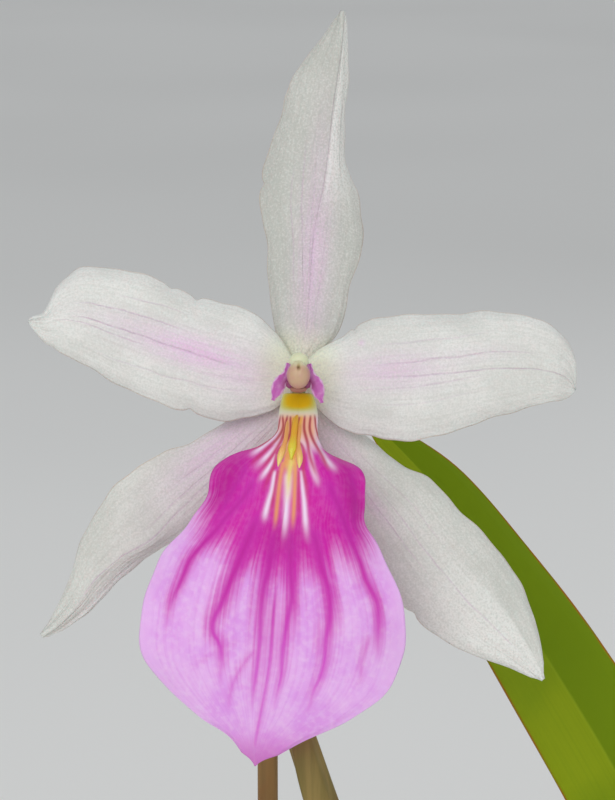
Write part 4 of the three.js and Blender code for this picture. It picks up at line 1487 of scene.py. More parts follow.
# The lip's dark veins, each as its line on the flower's face, its width at the start and its end,
# its strength, the share over which it fades out and the share over which it fades in
LIP_VEINS = (
    Streak(((-0.9, -17.5), (-0.9, -23.7), (-0.8, -26.7), (-1.4, -29.8), (-1.9, -32.9),
            (-2.1, -35.9), (-2.7, -38.4), (-3.1, -41.5)), 0.5, 0.22, 0.95, 0.3, 0.1),
    Streak(((-2.9, -17.5), (-3.6, -23.1), (-4.2, -25.5), (-4.5, -28.3), (-4.6, -31.3),
            (-4.9, -34.4), (-5.2, -36.5), (-5.5, -39), (-5.6, -41.5)), 0.5, 0.22, 0.9, 0.3, 0.1),
    Streak(((-2, -22.2), (-2.9, -27.7), (-3.2, -31.3), (-3.5, -34.4), (-4, -37.5), (-4.5, -40.2),
            (-5.2, -44.5), (-5.2, -46.1)), 0.3, 0.24, 0.8, 0.25, 0.2),
    Streak(((-4.3, -15.7), (-5.8, -19.4), (-7.1, -22.5), (-8.1, -24.8), (-9.1, -27.3), (-10, -29.2),
            (-10.1, -30.5), (-9.3, -32.1), (-9.1, -34), (-9.2, -35.9), (-9.5, -38.1)), 0.55, 0.22,
           1.0, 0.3, 0.08),
    Streak(((-4.9, -12), (-5.9, -14.2), (-7.6, -16.3), (-8.6, -17.4), (-9.8, -18.9), (-11.1, -20.3),
            (-12.6, -22.1), (-13.7, -24.6), (-14.9, -27.1), (-15.3, -29.2), (-15.7, -31.7)), 0.45,
           0.2, 0.9, 0.3, 0.08),
    Streak(((-5.9, -10.9), (-6.6, -12.4), (-7.8, -14.3), (-8.7, -16.1), (-10.4, -18.4),
            (-12.4, -20.2), (-13.8, -21.6)), 0.4, 0.2, 0.6, 0.6, 0.1),
    Streak(((-4.8, -32.3), (-6.7, -34.7), (-7.8, -36.9), (-8.2, -39), (-8.1, -40.5)), 0.24, 0.2,
           0.6, 0.5, 0.1),
    Streak(((-6.6, -31.5), (-8.8, -32.4), (-11.6, -34.2), (-13.4, -36)), 0.2, 0.2, 0.25, 0.6, 0.3),
    Streak(((1.2, -17.5), (2, -20), (2.7, -23.1), (3.6, -26.1), (3.6, -29.2), (3.1, -31.7),
            (3, -34), (2.5, -35.9), (1.6, -37.8), (1.2, -39.6), (0, -41)), 0.5, 0.24, 0.9, 0.3,
           0.1),
    Streak(((3.1, -12.4), (3.8, -14.2), (4.6, -16), (5.2, -17.9), (6, -20), (7.1, -22.5),
            (7.8, -24.6), (9.1, -27.1), (9.3, -29.2), (9.2, -31.7), (9.2, -33.5), (8.6, -34.7)),
           0.46, 0.22, 0.85, 0.3, 0.08),
    Streak(((8.6, -30.5), (7.3, -34.4), (7.2, -36.3), (6.2, -37.8)), 0.24, 0.2, 0.45, 0.5, 0.1),
    Streak(((5.9, -11.8), (6.3, -13.6), (6.4, -16.6), (6.3, -18.1), (7.5, -19.9), (8.9, -22.8),
            (10.3, -25.2)), 0.34, 0.2, 0.55, 0.6, 0.1),
)
# The markings that fan out of the throat: rose stripes, white streaks between them, orange ones
# and the straw-coloured one in the middle
ROSE_STRIPES = (
    Streak(((-2.05, -5.3), (-2.25, -6.3), (-2.6, -7.3), (-3.6, -8.3), (-5.2, -9.3), (-7.3, -9.9)),
           0.13, 0.2, 0.92, 0.35),
    Streak(((-1.8, -5.4), (-1.75, -6.9), (-2.4, -8.1), (-3.7, -9.4), (-5.2, -10.8), (-5.9, -11.6)),
           0.11, 0.3, 0.9, 0.35),
    Streak(((-1.3, -5.5), (-1.6, -7.1), (-1.95, -8.2), (-3, -9.9), (-4.1, -11.4), (-5.2, -12.5)),
           0.11, 0.34, 0.9, 0.35),
    Streak(((-1, -5.6), (-1.1, -7.5), (-1.6, -8.6), (-2.5, -9.5), (-2.9, -11.2), (-3.5, -12.5),
            (-4.1, -13.9), (-4.8, -15.4)), 0.1, 0.36, 0.9, 0.35),
    Streak(((-2.5, -11.9), (-2.7, -13), (-2.95, -14.4), (-3.3, -16.2), (-3.5, -17.4)), 0.16, 0.22,
           0.8, 0.4),
    Streak(((1.76, -5.4), (1.95, -7), (2.6, -8.5), (3.9, -9.9), (5.4, -10.7), (6.1, -11.1)), 0.12,
           0.2, 0.92, 0.35),
    Streak(((1.3, -5.5), (1.2, -7.1), (1.55, -8.4), (2.5, -10.1), (3.2, -11.4), (3.7, -12.1)), 0.11,
           0.3, 0.9, 0.35),
    Streak(((0.7, -5.5), (0.66, -7.1), (0.93, -8.6), (1.2, -10.1), (1.85, -12), (2.4, -13.4)), 0.11,
           0.3, 0.9, 0.35),
    Streak(((0.15, -5.7), (-0.2, -7.1), (-0.2, -8.2), (0.4, -9), (0.62, -10.2), (0.5, -11.5),
            (0.85, -13.4), (1.1, -15.2), (1.4, -16.8)), 0.1, 0.34, 0.9, 0.35),
    Streak(((0, -12), (0, -14.3), (0.02, -16), (0.05, -17.6)), 0.14, 0.2, 0.8, 0.4),
)
WHITE_STREAKS = (
    Streak(((-2.3, -7.2), (-2.9, -8.1), (-3.9, -8.9), (-5, -9.7), (-6, -10.4)), 0.24, 0.36, 0.95,
           0.4),
    Streak(((-1.9, -7.4), (-2.3, -8.6), (-3.1, -9.6), (-4.2, -10.7), (-5.6, -12)), 0.22, 0.4, 0.95,
           0.4),
    Streak(((-2.7, -10), (-3.2, -10.9), (-3.9, -12), (-4.9, -13.3)), 0.22, 0.34, 0.95, 0.4),
    Streak(((-2.9, -12), (-3.15, -13.9), (-3.6, -15.4), (-4, -16.9), (-4.2, -17.9)), 0.24, 0.36,
           0.95, 0.35),
    Streak(((-1.3, -12.6), (-1.3, -14), (-1.4, -15.2), (-1.5, -16.9), (-1.6, -18.7), (-1.8, -20.4)),
           0.5, 0.34, 0.95, 0.4),
    Streak(((0.35, -12), (0.5, -13.9), (0.66, -15.4), (0.75, -16.9), (0.85, -18.4), (1.1, -20.6)),
           0.24, 0.34, 0.95, 0.35),
    Streak(((0.92, -7.2), (1.05, -8.6), (1.25, -10), (1.6, -11.6), (2.1, -13), (2.4, -13.9)), 0.2,
           0.38, 0.95, 0.4),
    Streak(((1.5, -6.8), (1.8, -8.2), (2.3, -9.4), (3.1, -10.7), (4, -11.6), (4.6, -12.1)), 0.22,
           0.38, 0.95, 0.4),
)
ORANGE_STREAKS = (
    Streak(((-1.9, -11), (-2.15, -12.2), (-2.4, -14), (-2.6, -15.7), (-2.8, -17.5), (-3, -19)),
           0.34, 0.26, 0.9, 0.3),
    Streak(((-0.35, -11), (-0.4, -12.4), (-0.45, -14), (-0.5, -15.7), (-0.6, -17.5), (-0.7, -19.2)),
           0.32, 0.26, 0.9, 0.3),
    Streak(((-1.3, -9.3), (-1.5, -10.6), (-1.6, -11.8)), 0.34, 0.34, 0.9, 0.35),
)
STRAW_STREAKS = (
    Streak(((-0.9, -10.8), (-1.1, -11.8), (-1.2, -12.8), (-1.3, -14.6), (-1.4, -16)), 0.42, 0.4,
           0.95, 0.6),
)


@dataclass
class Ridge:
    """One ridge of the callus."""

    name: str
    route: Route
    radii: tuple[float, ...]
    finish: CallusFinish
    sides: int = 20
    steps: int = 60

    def build(self) -> None:
        """Build the ridge, rounded off at both ends."""
        bm = new_form()
        roll_tube(bm, self.route, self.radii, self.sides, self.steps, FACE.world)
        dress(object_from(bm, self.name), self.finish.build(), Slot.LIP, "lip")


@dataclass
class Lip:
    """The broad lip with its markings, and the ridged callus on its throat.

    Each marking has a method of its name that measures its strength, from 0 to 1. The bands are
    the heights, in the flower's own millimetres, between which a marking comes up.
    """

    rows: int = 240
    columns: int = 150
    thickness: float = 0.7
    belly: float = 1.4
    wave: float = 0.7
    waves: float = 4.0
    ruffle: float = 0.14
    flush_centre: tuple[float, float] = (-1.0, -9.9)
    flush_full: float = 8.5
    flush_gone: float = 16.5
    halo_spread: float = 3.4
    halo_reach: float = 3.8
    feather_reach: float = 0.3
    feathers: Route = ((23, 1.0, 1), (41, 0.7, 2.2), (67, 0.5, 0))
    halo_band: tuple[float, float] = (-42, -24)
    vein_band: tuple[float, float] = (-37, -21)
    dark_patches: tuple[Patch, ...] = (
        Patch(-8.5, -13.2, 4, 1.4, 60, 0.45), Patch(6, -14.5, 4, 1.2, -75, 0.5),
        Patch(-1.6, -19.5, 3.2, 2.6, 0, 0.35))
    base_middle: float = -0.15
    white_band: tuple[float, float] = (-10.4, -8.6)
    peach_band: tuple[float, float] = (-9.8, -7.2)
    amber_bands: Pairs = ((-12.2, -10.6), (-4.9, -5.8))
    amber_lean: float = 0.16
    brown_band: tuple[float, float] = (-10, -7)
    cream_band: tuple[float, float] = (-5.9, -4.9)
    spot_at: tuple[float, float] = (-0.1, -3.65)
    spot_half: tuple[float, float] = (1.6, 0.95)

    def flush(self, spots: Spots) -> np.ndarray:
        """Spread the magenta round the throat, feathered and drawn further down along the veins.

        Args:
            spots: The places.

        Returns:
            The strength at each place.
        """
        aside, below = spots.x - self.flush_centre[0], spots.z - self.flush_centre[1]
        turn = np.arctan2(aside, -below)
        feather = sum(size * np.sin(count * turn + phase) for count, size, phase in self.feathers)
        wide = painted(LIP_VEINS, spots, self.halo_spread)
        reach = np.hypot(aside, below) - self.halo_reach * wide + self.feather_reach * feather
        base = 0.96 * smooth(reach, self.flush_gone, self.flush_full)
        fading = smooth(spots.z, *self.halo_band)
        return np.maximum(base, 0.6 * fading * painted(LIP_VEINS, spots, self.halo_spread * 0.9))

    def margin(self, spots: Spots) -> np.ndarray:
        """Pale the rim, but not at the base nor at the tip."""
        rim = smooth(np.abs(spots.across), 0.86, 1.0) * smooth(spots.along, 0.35, 0.6)
        return 0.8 * rim * smooth(spots.along, 1.0, 0.85)

    def vein(self, spots: Spots) -> np.ndarray:
        """Draw the dark upper part of the veins, soft at their sides."""
        core, halo = painted(LIP_VEINS, spots), painted(LIP_VEINS, spots, 1.9)
        return np.maximum(0.85 * core, 0.4 * halo) * smooth(spots.z, *self.vein_band)

    def branch_and_tip_shade(self, spots: Spots) -> np.ndarray:
        """Draw the veins in violet all the way down, and lay painted shade in violet on the tip."""
        core, halo = painted(LIP_VEINS, spots), painted(LIP_VEINS, spots, 2.2)
        # The last term is painted shade on the tip
        return np.maximum.reduce([0.9 * core, 0.45 * halo, 0.45 * smooth(spots.along, 0.86, 1.0)])

    def deep(self, spots: Spots) -> np.ndarray:
        """Darken the shoulders, the middle under the streaks and the base's edge, and lay painted
        shade on the tip.
        """
        patches = [patch.mask(spots) for patch in self.dark_patches]
        rim = 0.5 * smooth(np.abs(spots.across), 0.95, 1.0) * smooth(spots.along, 0.45, 0.3)
        # The tip's term is painted shade
        return np.maximum.reduce([*patches, rim, 0.3 * smooth(spots.along, 0.9, 1.0)])

    def white(self, spots: Spots) -> np.ndarray:
        """Draw the white streaks, and pale the base that they leave."""
        near = smooth(np.abs(spots.x - self.base_middle), 3.4, 2.4)
        base = 0.85 * smooth(spots.z, *self.white_band) * near
        return np.maximum(base, painted(WHITE_STREAKS, spots))

    def peach(self, spots: Spots) -> np.ndarray:
        """Colour the narrow base between its stripes, fading to white where the blade spreads."""
        near = smooth(np.abs(spots.x - self.base_middle), 2.6, 1.5)
        return 0.9 * smooth(spots.z, *self.peach_band) * near

    def amber(self, spots: Spots) -> np.ndarray:
        """Deepen the middle of the throat to amber, down to the ends of the ridges."""
        aside = spots.x + 0.1 - self.amber_lean * (spots.z + 5)
        below, above = (smooth(spots.z, *band) for band in self.amber_bands)
        return 0.85 * (below * above) * smooth(np.abs(aside), 1.05, 0.5)

    def orange(self, spots: Spots) -> np.ndarray:
        """Draw the orange streaks."""
        return painted(ORANGE_STREAKS, spots)

    def straw(self, spots: Spots) -> np.ndarray:
        """Draw the straw-coloured streak in the middle."""
        return painted(STRAW_STREAKS, spots)

    def rose(self, spots: Spots) -> np.ndarray:
        """Draw the rose stripes."""
        return painted(ROSE_STRIPES, spots)

    def brown(self, spots: Spots) -> np.ndarray:
        """Brown the stripes where they leave the yellow."""
        return 0.85 * painted(ROSE_STRIPES, spots, 0.8) * smooth(spots.z, *self.brown_band)

    def cream(self, spots: Spots) -> np.ndarray:
        """Pale the base round the yellow spot."""
        return smooth(spots.z, *self.cream_band)

    def spot_reach(self, spots: Spots) -> np.ndarray:
        """Measure how far each place is from the yellow spot's middle, squarer than an oval."""
        aside = (spots.x - self.spot_at[0]) / self.spot_half[0]
        below = (spots.z - self.spot_at[1]) / self.spot_half[1]
        return (np.abs(aside) ** 3 + np.abs(below) ** 3) ** (1 / 3)

    def halo(self, spots: Spots) -> np.ndarray:
        """Tint the base yellow-green round the yellow spot."""
        return 0.95 * smooth(self.spot_reach(spots), 1.7, 0.95)

    def yellow(self, spots: Spots) -> np.ndarray:
        """Fill the yellow spot under the column."""
        return smooth(self.spot_reach(spots), 1.2, 0.7)

    def ridges(self) -> list[Ridge]:
        """List the callus ridges.

        Returns:
            One ridge in the middle, and one on each side of it that ends in a knob.
        """
        middle = CallusFinish("middle ridge", "#DFA52C", "#D8CE3C", 0.75)
        side = CallusFinish("side ridge", "#E8A05C", "#EBD07A", 0.84)
        side_radii = (0.06, 0.24, 0.28, 0.3, 0.42, 0.12)
        return [
            Ridge("callus_middle", ((-0.2, -0.8, -4.7), (-0.25, -1.2, -5.2), (-0.5, -2.45, -6.4),
                                    (-0.65, -3.75, -7.9), (-0.83, -4.8, -9.3),
                                    (-0.93, -5.45, -10.4)),
                  (0.08, 0.36, 0.42, 0.45, 0.55, 0.14), middle),
            Ridge("callus_left", ((-1.25, -1.3, -5.2), (-1.42, -2.9, -6.8), (-1.57, -4.2, -8.1),
                                  (-1.9, -5.05, -9.2), (-2.25, -5.5, -10.3), (-2.5, -5.9, -11.4)),
                  side_radii, side),
            Ridge("callus_right", ((0.25, -1.5, -5.5), (0.13, -3.05, -7.1), (0.02, -4, -8.2),
                                   (0.05, -5, -9.5), (0.12, -5.5, -10.6), (0.02, -5.9, -11.7)),
                  side_radii, side),
        ]

    def build(self) -> None:
        """Build the blade and the callus."""
        surface = RailSheet(LIP, self.belly, self.wave, self.waves, ruffle=self.ruffle)
        masks = {name: getattr(self, name) for name in ("flush", "margin", *LIP_MARKS)}
        sheet = Sheet("lip_flesh", surface, self.rows, self.columns, self.thickness, FACE.world,
                      masks)
        dress(sheet.build(), LipFinish().build(), Slot.LIP, "lip")
        for ridge in self.ridges():
            ridge.build()


@dataclass
class StrapSheet:
    """The surface of a strap leaf or a bract along its route.

    The facing gives the direction that the blade faces at its base and at its tip. The fold is the
    slope of its halves, and ripple and groove are heights in millimetres.
    """

    route: Sequence[Sequence[float]]
    half_widths: Sequence[float]
    facing: Sequence[Sequence[float]]
    fold: float = 0.3
    ripple: float = 0.0
    ripples: float = 9.0
    groove: float = 0.0
    groove_half: float = 0.07
    groove_lead: float = 0.1
    crease: float = 0.12
    flatten: float = 0.35
    least_half: float = 0.25

    def __post_init__(self) -> None:
        """Draw the route."""
        self.rail = Rail(self.route)
        self.frames: dict[float, tuple[Vector, Vector, Vector, float]] = {}

    def frame_at(self, along: float) -> tuple[Vector, Vector, Vector, float]:
        """Find the blade's own directions at a place along it.

        Args:
            along: The share of the way from base to tip.

        Returns:
            The middle, the sideways and upward directions, and the half width.
        """
        if along not in self.frames:
            look = Vector(self.facing[0]).lerp(Vector(self.facing[-1]), along).normalized()
            heading = self.rail.heading(along)
            side = heading.cross(look).normalized()
            half = max(station_value(self.half_widths, along), self.least_half)
            upward = side.cross(heading).normalized()
            self.frames[along] = (self.rail.along(along), side, upward, half)
        return self.frames[along]

    def __call__(self, along: float, across: float) -> Vector:
        """Find the surface's point.

        Args:
            along: The share of the way from base to tip.
            across: The place from one edge, -1, over the midrib, 0, to the other edge, 1.

        Returns:
            The point in millimetres.
        """
        centre, side, face, half = self.frame_at(along)
        out = math.hypot(across, self.crease) - self.crease
        rise = self.fold * half * (out - self.flatten * out * out)
        rippled = self.ripple * out * out * math.sin(self.ripples * math.pi * along)
        rise += rippled * math.sin(math.pi * along)
        deep = math.sin(math.pi * min(along + self.groove_lead, 1))
        rise -= self.groove * math.exp(-(across / self.groove_half) ** 2) * deep
        return centre + side * (half * across) + face * rise


@dataclass
class Leaf:
    """A strap leaf, in millimetres."""

    node: str
    route: Route
    half_widths: tuple[float, ...]
    facing: Route
    finish: LeafFinish
    rows: int = 120
    columns: int = 30
    thickness: float = 0.8
    ripple: float = 0.35
    groove: float = 0.25

    def build(self) -> None:
        """Build the blade."""
        surface = StrapSheet(self.route, self.half_widths, self.facing, ripple=self.ripple,
                             groove=self.groove)
        sheet = Sheet(f"{self.node}_blade", surface, self.rows, self.columns, self.thickness)
        dress(sheet.build(), self.finish.build(), Slot.LEAF, self.node)


TOP_HALVES = (2.6, 4.6, 6.2, 7.2, 7.4, 6.8, 5, 0.5)
LOW_HALVES = (4, 4.8, 5.6, 6, 5.8, 4.6, 0.5)
LEAVES = {
    "leaf_behind_flower": (
        ((30, 2.6, 159.6), (31, 3.6, 185), (29, 3.4, 215), (23, 3, 236), (16.6, 2.8, 250),
         (6.8, 3.4, 266.6), (-1.8, 5.1, 279.6), (-10.2, 6.8, 292), (-16.4, 7.6, 298.7),
         (-20.9, 8.4, 303)),
        (2.6, 5, 6.8, 7.7, 8, 8, 7.7, 6.7, 4.6, 0.5), ((0, -1, 0.1), (0, -1, 0.25)),
    ),
    "leaf_right_outer": (
        ((30, 5.6, 159.6), (33, 8, 185), (40, 14, 210), (52, 22, 226), (68, 31, 228),
         (86, 40, 214)),
        TOP_HALVES, ((-0.2, -1, 0), (0.2, 0.1, 1)),
    ),
    "leaf_left_front": (
        ((-16.4, -5.4, 161.6), (-19, -7, 185), (-27, -10, 208), (-42, -15, 222), (-60, -22, 222),
         (-78, -29, 206)),
        TOP_HALVES, ((0.2, 1, 0), (-0.3, -0.1, 1)),
    ),
    "leaf_left_back": (
        ((-15.6, -2.4, 161.6), (-16, 1, 186), (-22, 9, 210), (-33, 23, 225), (-46, 39, 226),
         (-58, 55, 212)),
        TOP_HALVES, ((0.2, -1, 0), (-0.2, 0.3, 1)),
    ),
    "leaf_back_right": (
        ((8.4, 25.4, 152.6), (12.6, 28, 176), (20.5, 35, 200), (32, 45, 214), (47, 56, 213),
         (60, 64, 198)),
        TOP_HALVES, ((-0.41, -0.91, 0), (0.2, 0.2, 1)),
    ),
    "leaf_back_left": (
        ((9.6, 28.6, 152.6), (4.6, 33, 172), (-1.6, 40, 190), (-9, 49, 200), (-18, 59, 198),
         (-27, 69, 186)),
        TOP_HALVES, ((0.41, 0.91, 0), (-0.2, 0.3, 1)),
    ),
    "basal_leaf_front_left": (
        ((-29.5, -4, 90.6), (-33.4, -4.4, 108), (-34.4, -5, 130), (-38, -6, 152), (-49, -8, 174),
         (-64, -11, 184)),
        LOW_HALVES, ((1, 0.1, 0), (0.1, 0, 1)),
    ),
    "basal_leaf_front_middle": (
        ((-2.6, -5, 90.6), (1, -7, 106), (1.6, -10, 124), (1, -14, 140), (-1, -21, 153),
         (-5, -31, 158)),
        LOW_HALVES, ((-1, 0.1, 0), (0, 0.3, 1)),
    ),
    "basal_leaf_right_outer": (
        ((43.4, 6, 90.6), (47, 7, 106), (48, 8, 126), (50, 10, 148), (58, 13, 168), (72, 18, 180)),
        LOW_HALVES, ((-1, -0.1, 0), (0, 0, 1)),
    ),
    "basal_leaf_right_inner": (
        ((16.2, 2, 90.6), (12.8, 2, 106), (11.6, 2, 124), (10, 3, 142), (6, 6, 158), (0, 10, 168)),
        LOW_HALVES, ((1, 0.1, 0), (0, -0.3, 1)),
    ),
    "basal_leaf_back_left": (
        ((-2.4, 32.4, 90.6), (-5.6, 34, 104), (-6.4, 36, 122), (-9, 39, 142), (-17, 45, 158),
         (-29, 53, 165)),
        LOW_HALVES, ((0.9, -0.4, 0), (0.2, -0.2, 1)),
    ),
    "basal_leaf_back_right": (
        ((20.6, 22, 90.6), (23.8, 21.4, 104), (25, 21.4, 122), (28, 22, 142), (37, 24, 158),
         (50, 27, 166)),
        LOW_HALVES, ((-0.9, 0.4, 0), (-0.1, 0, 1)),
    ),
}


@dataclass
class Foliage:
    """All the leaves, each pseudobulb's pair and the lower ones that clasp its foot."""

    behind_flower: str = "leaf_behind_flower"

    def build(self) -> None:
        """Build every leaf with its own shade of green."""
        # The leaf behind the flower has strong painted shade on the half past its midrib
        shown = LeafFinish("leaf behind the flower", bright="#86980A", deep="#6A8402",
                           young="#86980A", rib="#90A626", rust="#A06A1A", painted_shade_half=0.9,
                           rib_share=0.2, gloss=0.12)
        upper, lower = LeafFinish("upper leaf"), LeafFinish("lower leaf", "#8AA23A", "#5E7A1E")
        for node, (route, half_widths, facing) in LEAVES.items():
            finish = lower if half_widths is LOW_HALVES else upper
            if node == self.behind_flower:
                finish = shown
            Leaf(node, route, half_widths, facing, finish).build()


@dataclass
class NewGrowth:
    """The new growth: a small fan of folded leaves on a swollen foot, in millimetres."""

    at: tuple[float, float] = (4.5, -31.0)
    radius: float = 4.2
    height: float = 15.0
    sunk: float = 0.2
    sides: int = 48
    foot_profile: Pairs = ((0, 0), (0.7, 0.1), (1, 0.4), (0.85, 0.62), (0.6, 0.8), (0.3, 0.94),
                           (0, 1))
    blades: tuple[tuple[Route, tuple[float, ...], Route], ...] = (
        (((4.5, -31, 92), (4.3, -31.5, 112), (3, -33, 138), (1, -36, 158)), (2.6, 3.6, 3.4, 0.5),
         ((0, -1, 0.1), (0, -1, 0.3))),
        (((2, -30.6, 93), (-1.5, -31, 106), (-6, -33, 122), (-14, -36, 136)), (2.6, 3.6, 3.4, 0.5),
         ((1, 0, 0), (0.5, 0, 1))),
        (((7, -30.6, 93), (10.5, -31, 104), (15, -33, 117), (22, -36, 127)), (2.4, 3.3, 3, 0.5),
         ((-1, 0, 0), (-0.5, 0, 1))),
    )
    rows: int = 70
    columns: int = 20
    thickness: float = 0.8
    fold: float = 0.5
    groove: float = 0.2

    def build(self) -> None:
        """Build the foot and the three blades."""
        finish = LeafFinish("new growth", bright="#A4B84C", deep="#7C9A2E", rust="#8E7A30")
        bm = new_form()
        turn_profile(bm, smooth_profile(self.foot_profile, self.radius, self.height), self.sides)
        bmesh.ops.translate(bm, verts=bm.verts, vec=Vector((*self.at, BULB_FOOT - self.sunk)) * MM)
        foot = BulbFinish("new growth foot", skin="#A9B860", light="#C3C98A", foot="#8F8A4C")
        dress(object_from(bm, "new_growth_foot"), foot.build(), Slot.BULB, "new_growth")
        for number, (route, half_widths, facing) in enumerate(self.blades, start=1):
            surface = StrapSheet(route, half_widths, facing, fold=self.fold, groove=self.groove)
            sheet = Sheet(f"new_growth_blade_{number}", surface, self.rows, self.columns,
                          self.thickness)
            dress(sheet.build(), finish.build(), Slot.LEAF, "new_growth")


@dataclass
class Scape:
    """A flower stalk with the dry bracts that clasp it, in millimetres.

    Each bract is its start and its length as shares of the stem, and its lean to x and y.
    """

    node: str
    route: Route
    radii: tuple[float, ...]
    bracts: tuple[tuple[float, float, float, float], ...]
    finish: StalkFinish
    bract_finish: StalkFinish
    sides: int = 24
    steps: int = 260
    clear: float = 0.1
    stand: float = 1.5
    bract_shares: tuple[float, ...] = (0, 0.35, 0.7, 1)
    bract_halves: tuple[float, ...] = (2.0, 2.5, 2.0, 0.4)
    bract_fold: float = 0.75
    bract_grid: tuple[int, int] = (50, 16)
    bract_thickness: float = 0.6
    joint_swell: float = 0.16
    joint_half: float = 0.006

    def bract_surface(self, rail: Rail, start: float, length: float, lean: Vector) -> StrapSheet:
        """Lay a bract's route along the stem and away from it towards its tip.

        Args:
            rail: The stem's middle.
            start: The share of the stem's length at which the bract begins.
            length: The bract's length as such a share.
            lean: The direction in which it stands off.

        Returns:
            The bract's surface.
        """
        route = []
        for share in self.bract_shares:
            off = self.radii[1] + self.clear + self.stand * share ** 2
            route.append(rail.along(start + length * share) + lean * off)
        return StrapSheet(route, self.bract_halves, (-lean,), fold=self.bract_fold)

    def joint(self, along: float, turn: float) -> float:
        """Swell the stem a little at each bract's foot."""
        bumps = (math.exp(-((along - start) / self.joint_half) ** 2) for start, *_ in self.bracts)
        return 1 + self.joint_swell * sum(bumps)

    def build(self) -> None:
        """Build the stem and its bracts."""
        rail = Rail(self.route)
        bm = new_form()
        roll_tube(bm, self.route, self.radii, self.sides, self.steps, section=self.joint)
        dress(object_from(bm, f"{self.node}_stem"), self.finish.build(), Slot.STALK, self.node)
        for number, (start, length, *lean) in enumerate(self.bracts, start=1):
            surface = self.bract_surface(rail, start, length, Vector((*lean, 0)).normalized())
            sheet = Sheet(f"{self.node}_bract_{number}", surface, *self.bract_grid,
                          self.bract_thickness)
            dress(sheet.build(), self.bract_finish.build(), Slot.STALK, self.node)


@dataclass
class Pedicel:
    """The pedicel that rises from the scape's top and swells into the ribbed ovary."""

    route: Route = ((-32, -26, 286.4), (-31.9, -23.6, 296), (-31, -22.4, 304), (-29.6, -24.6, 310),
                    (-28.4, -30, 313.6), (-28, -35, 314.9))
    radii: tuple[float, ...] = (1.3, 1.2, 1.5, 2.2, 2.5, 1.9)
    sides: int = 48
    steps: int = 120
    rib_count: int = 6
    rib_height: float = 0.05
    rib_band: tuple[float, float] = (0.4, 0.7)

    def ribs(self, along: float, turn: float) -> float:
        """Raise three pairs of low ribs on the ovary."""
        return 1 + self.rib_height * math.cos(self.rib_count
                                              * turn) * float(smooth(along, *self.rib_band))

    def build(self) -> None:
        """Build the pedicel and ovary in one."""
        bm = new_form()
        roll_tube(bm, self.route, self.radii, self.sides, self.steps, section=self.ribs)
        finish = StalkFinish("ovary", "#A3B26A", "#7F9A48", "#8B6A3C", rust_share=0.25)
        dress(object_from(bm, "ovary"), finish.build(), Slot.OVARY, "pedicel_and_ovary")


@dataclass
class Pseudobulb:
    """A flattened, furrowed pseudobulb, narrow at its top, in millimetres."""

    node: str
    at: tuple[float, float]
    height: float
    width: float
    depth: float
    turn_deg: float
    finish: BulbFinish
    slot: Slot = Slot.BULB
    furrows: int = 13
    furrow_depth: float = 0.045
    profile: Pairs = ((0, 0), (0.42, 0), (0.8, 0.1), (1, 0.32), (0.93, 0.52), (0.66, 0.75),
                      (0.3, 0.95),
                      (0.12, 1), (0, 1))
    steps: int = 64
    sides: int = 144

    def furrow(self, turn: float, up: float) -> float:
        """Draw the skin in along uneven furrows that fade out at foot and top.

        Args:
            turn: The turn round the bulb, in radians.
            up: The share of its height.

        Returns:
            The factor on the radius.
        """
        even = math.sin(self.furrows * turn + 1.4 * math.sin(2 * turn))
        wave = even - 0.6 * math.sin(7 * turn + 3 * up)
        return 1 - self.furrow_depth * (0.8 + wave) * math.sin(math.pi * held(up)) ** 0.7

    def build(self) -> None:
        """Spin the bulb, press it flat and draw the furrows."""
        bm = new_form()
        turn_profile(bm, smooth_profile(self.profile, self.width / 2, self.height, self.steps),
                     self.sides)
        layer = bm.verts.layers.float.new("foot")
        for vert in bm.verts:
            up = vert.co.z / (self.height * MM)
            share = self.furrow(math.atan2(vert.co.y, vert.co.x), up)
            vert.co.x, vert.co.y = vert.co.x * share, vert.co.y * share * self.depth / self.width
            vert[layer] = float(max(smooth(up, 0.16, 0.0), 0.8 * smooth(up, 0.94, 1.0)))
        turn = Matrix.Rotation(math.radians(self.turn_deg), 3, "Z")
        bmesh.ops.rotate(bm, verts=bm.verts, cent=(0, 0, 0), matrix=turn)
        bmesh.ops.translate(bm, verts=bm.verts, vec=Vector((*self.at, BULB_FOOT)) * MM)
        dress(object_from(bm, f"{self.node}_skin"), self.finish.build(), self.slot, self.node)


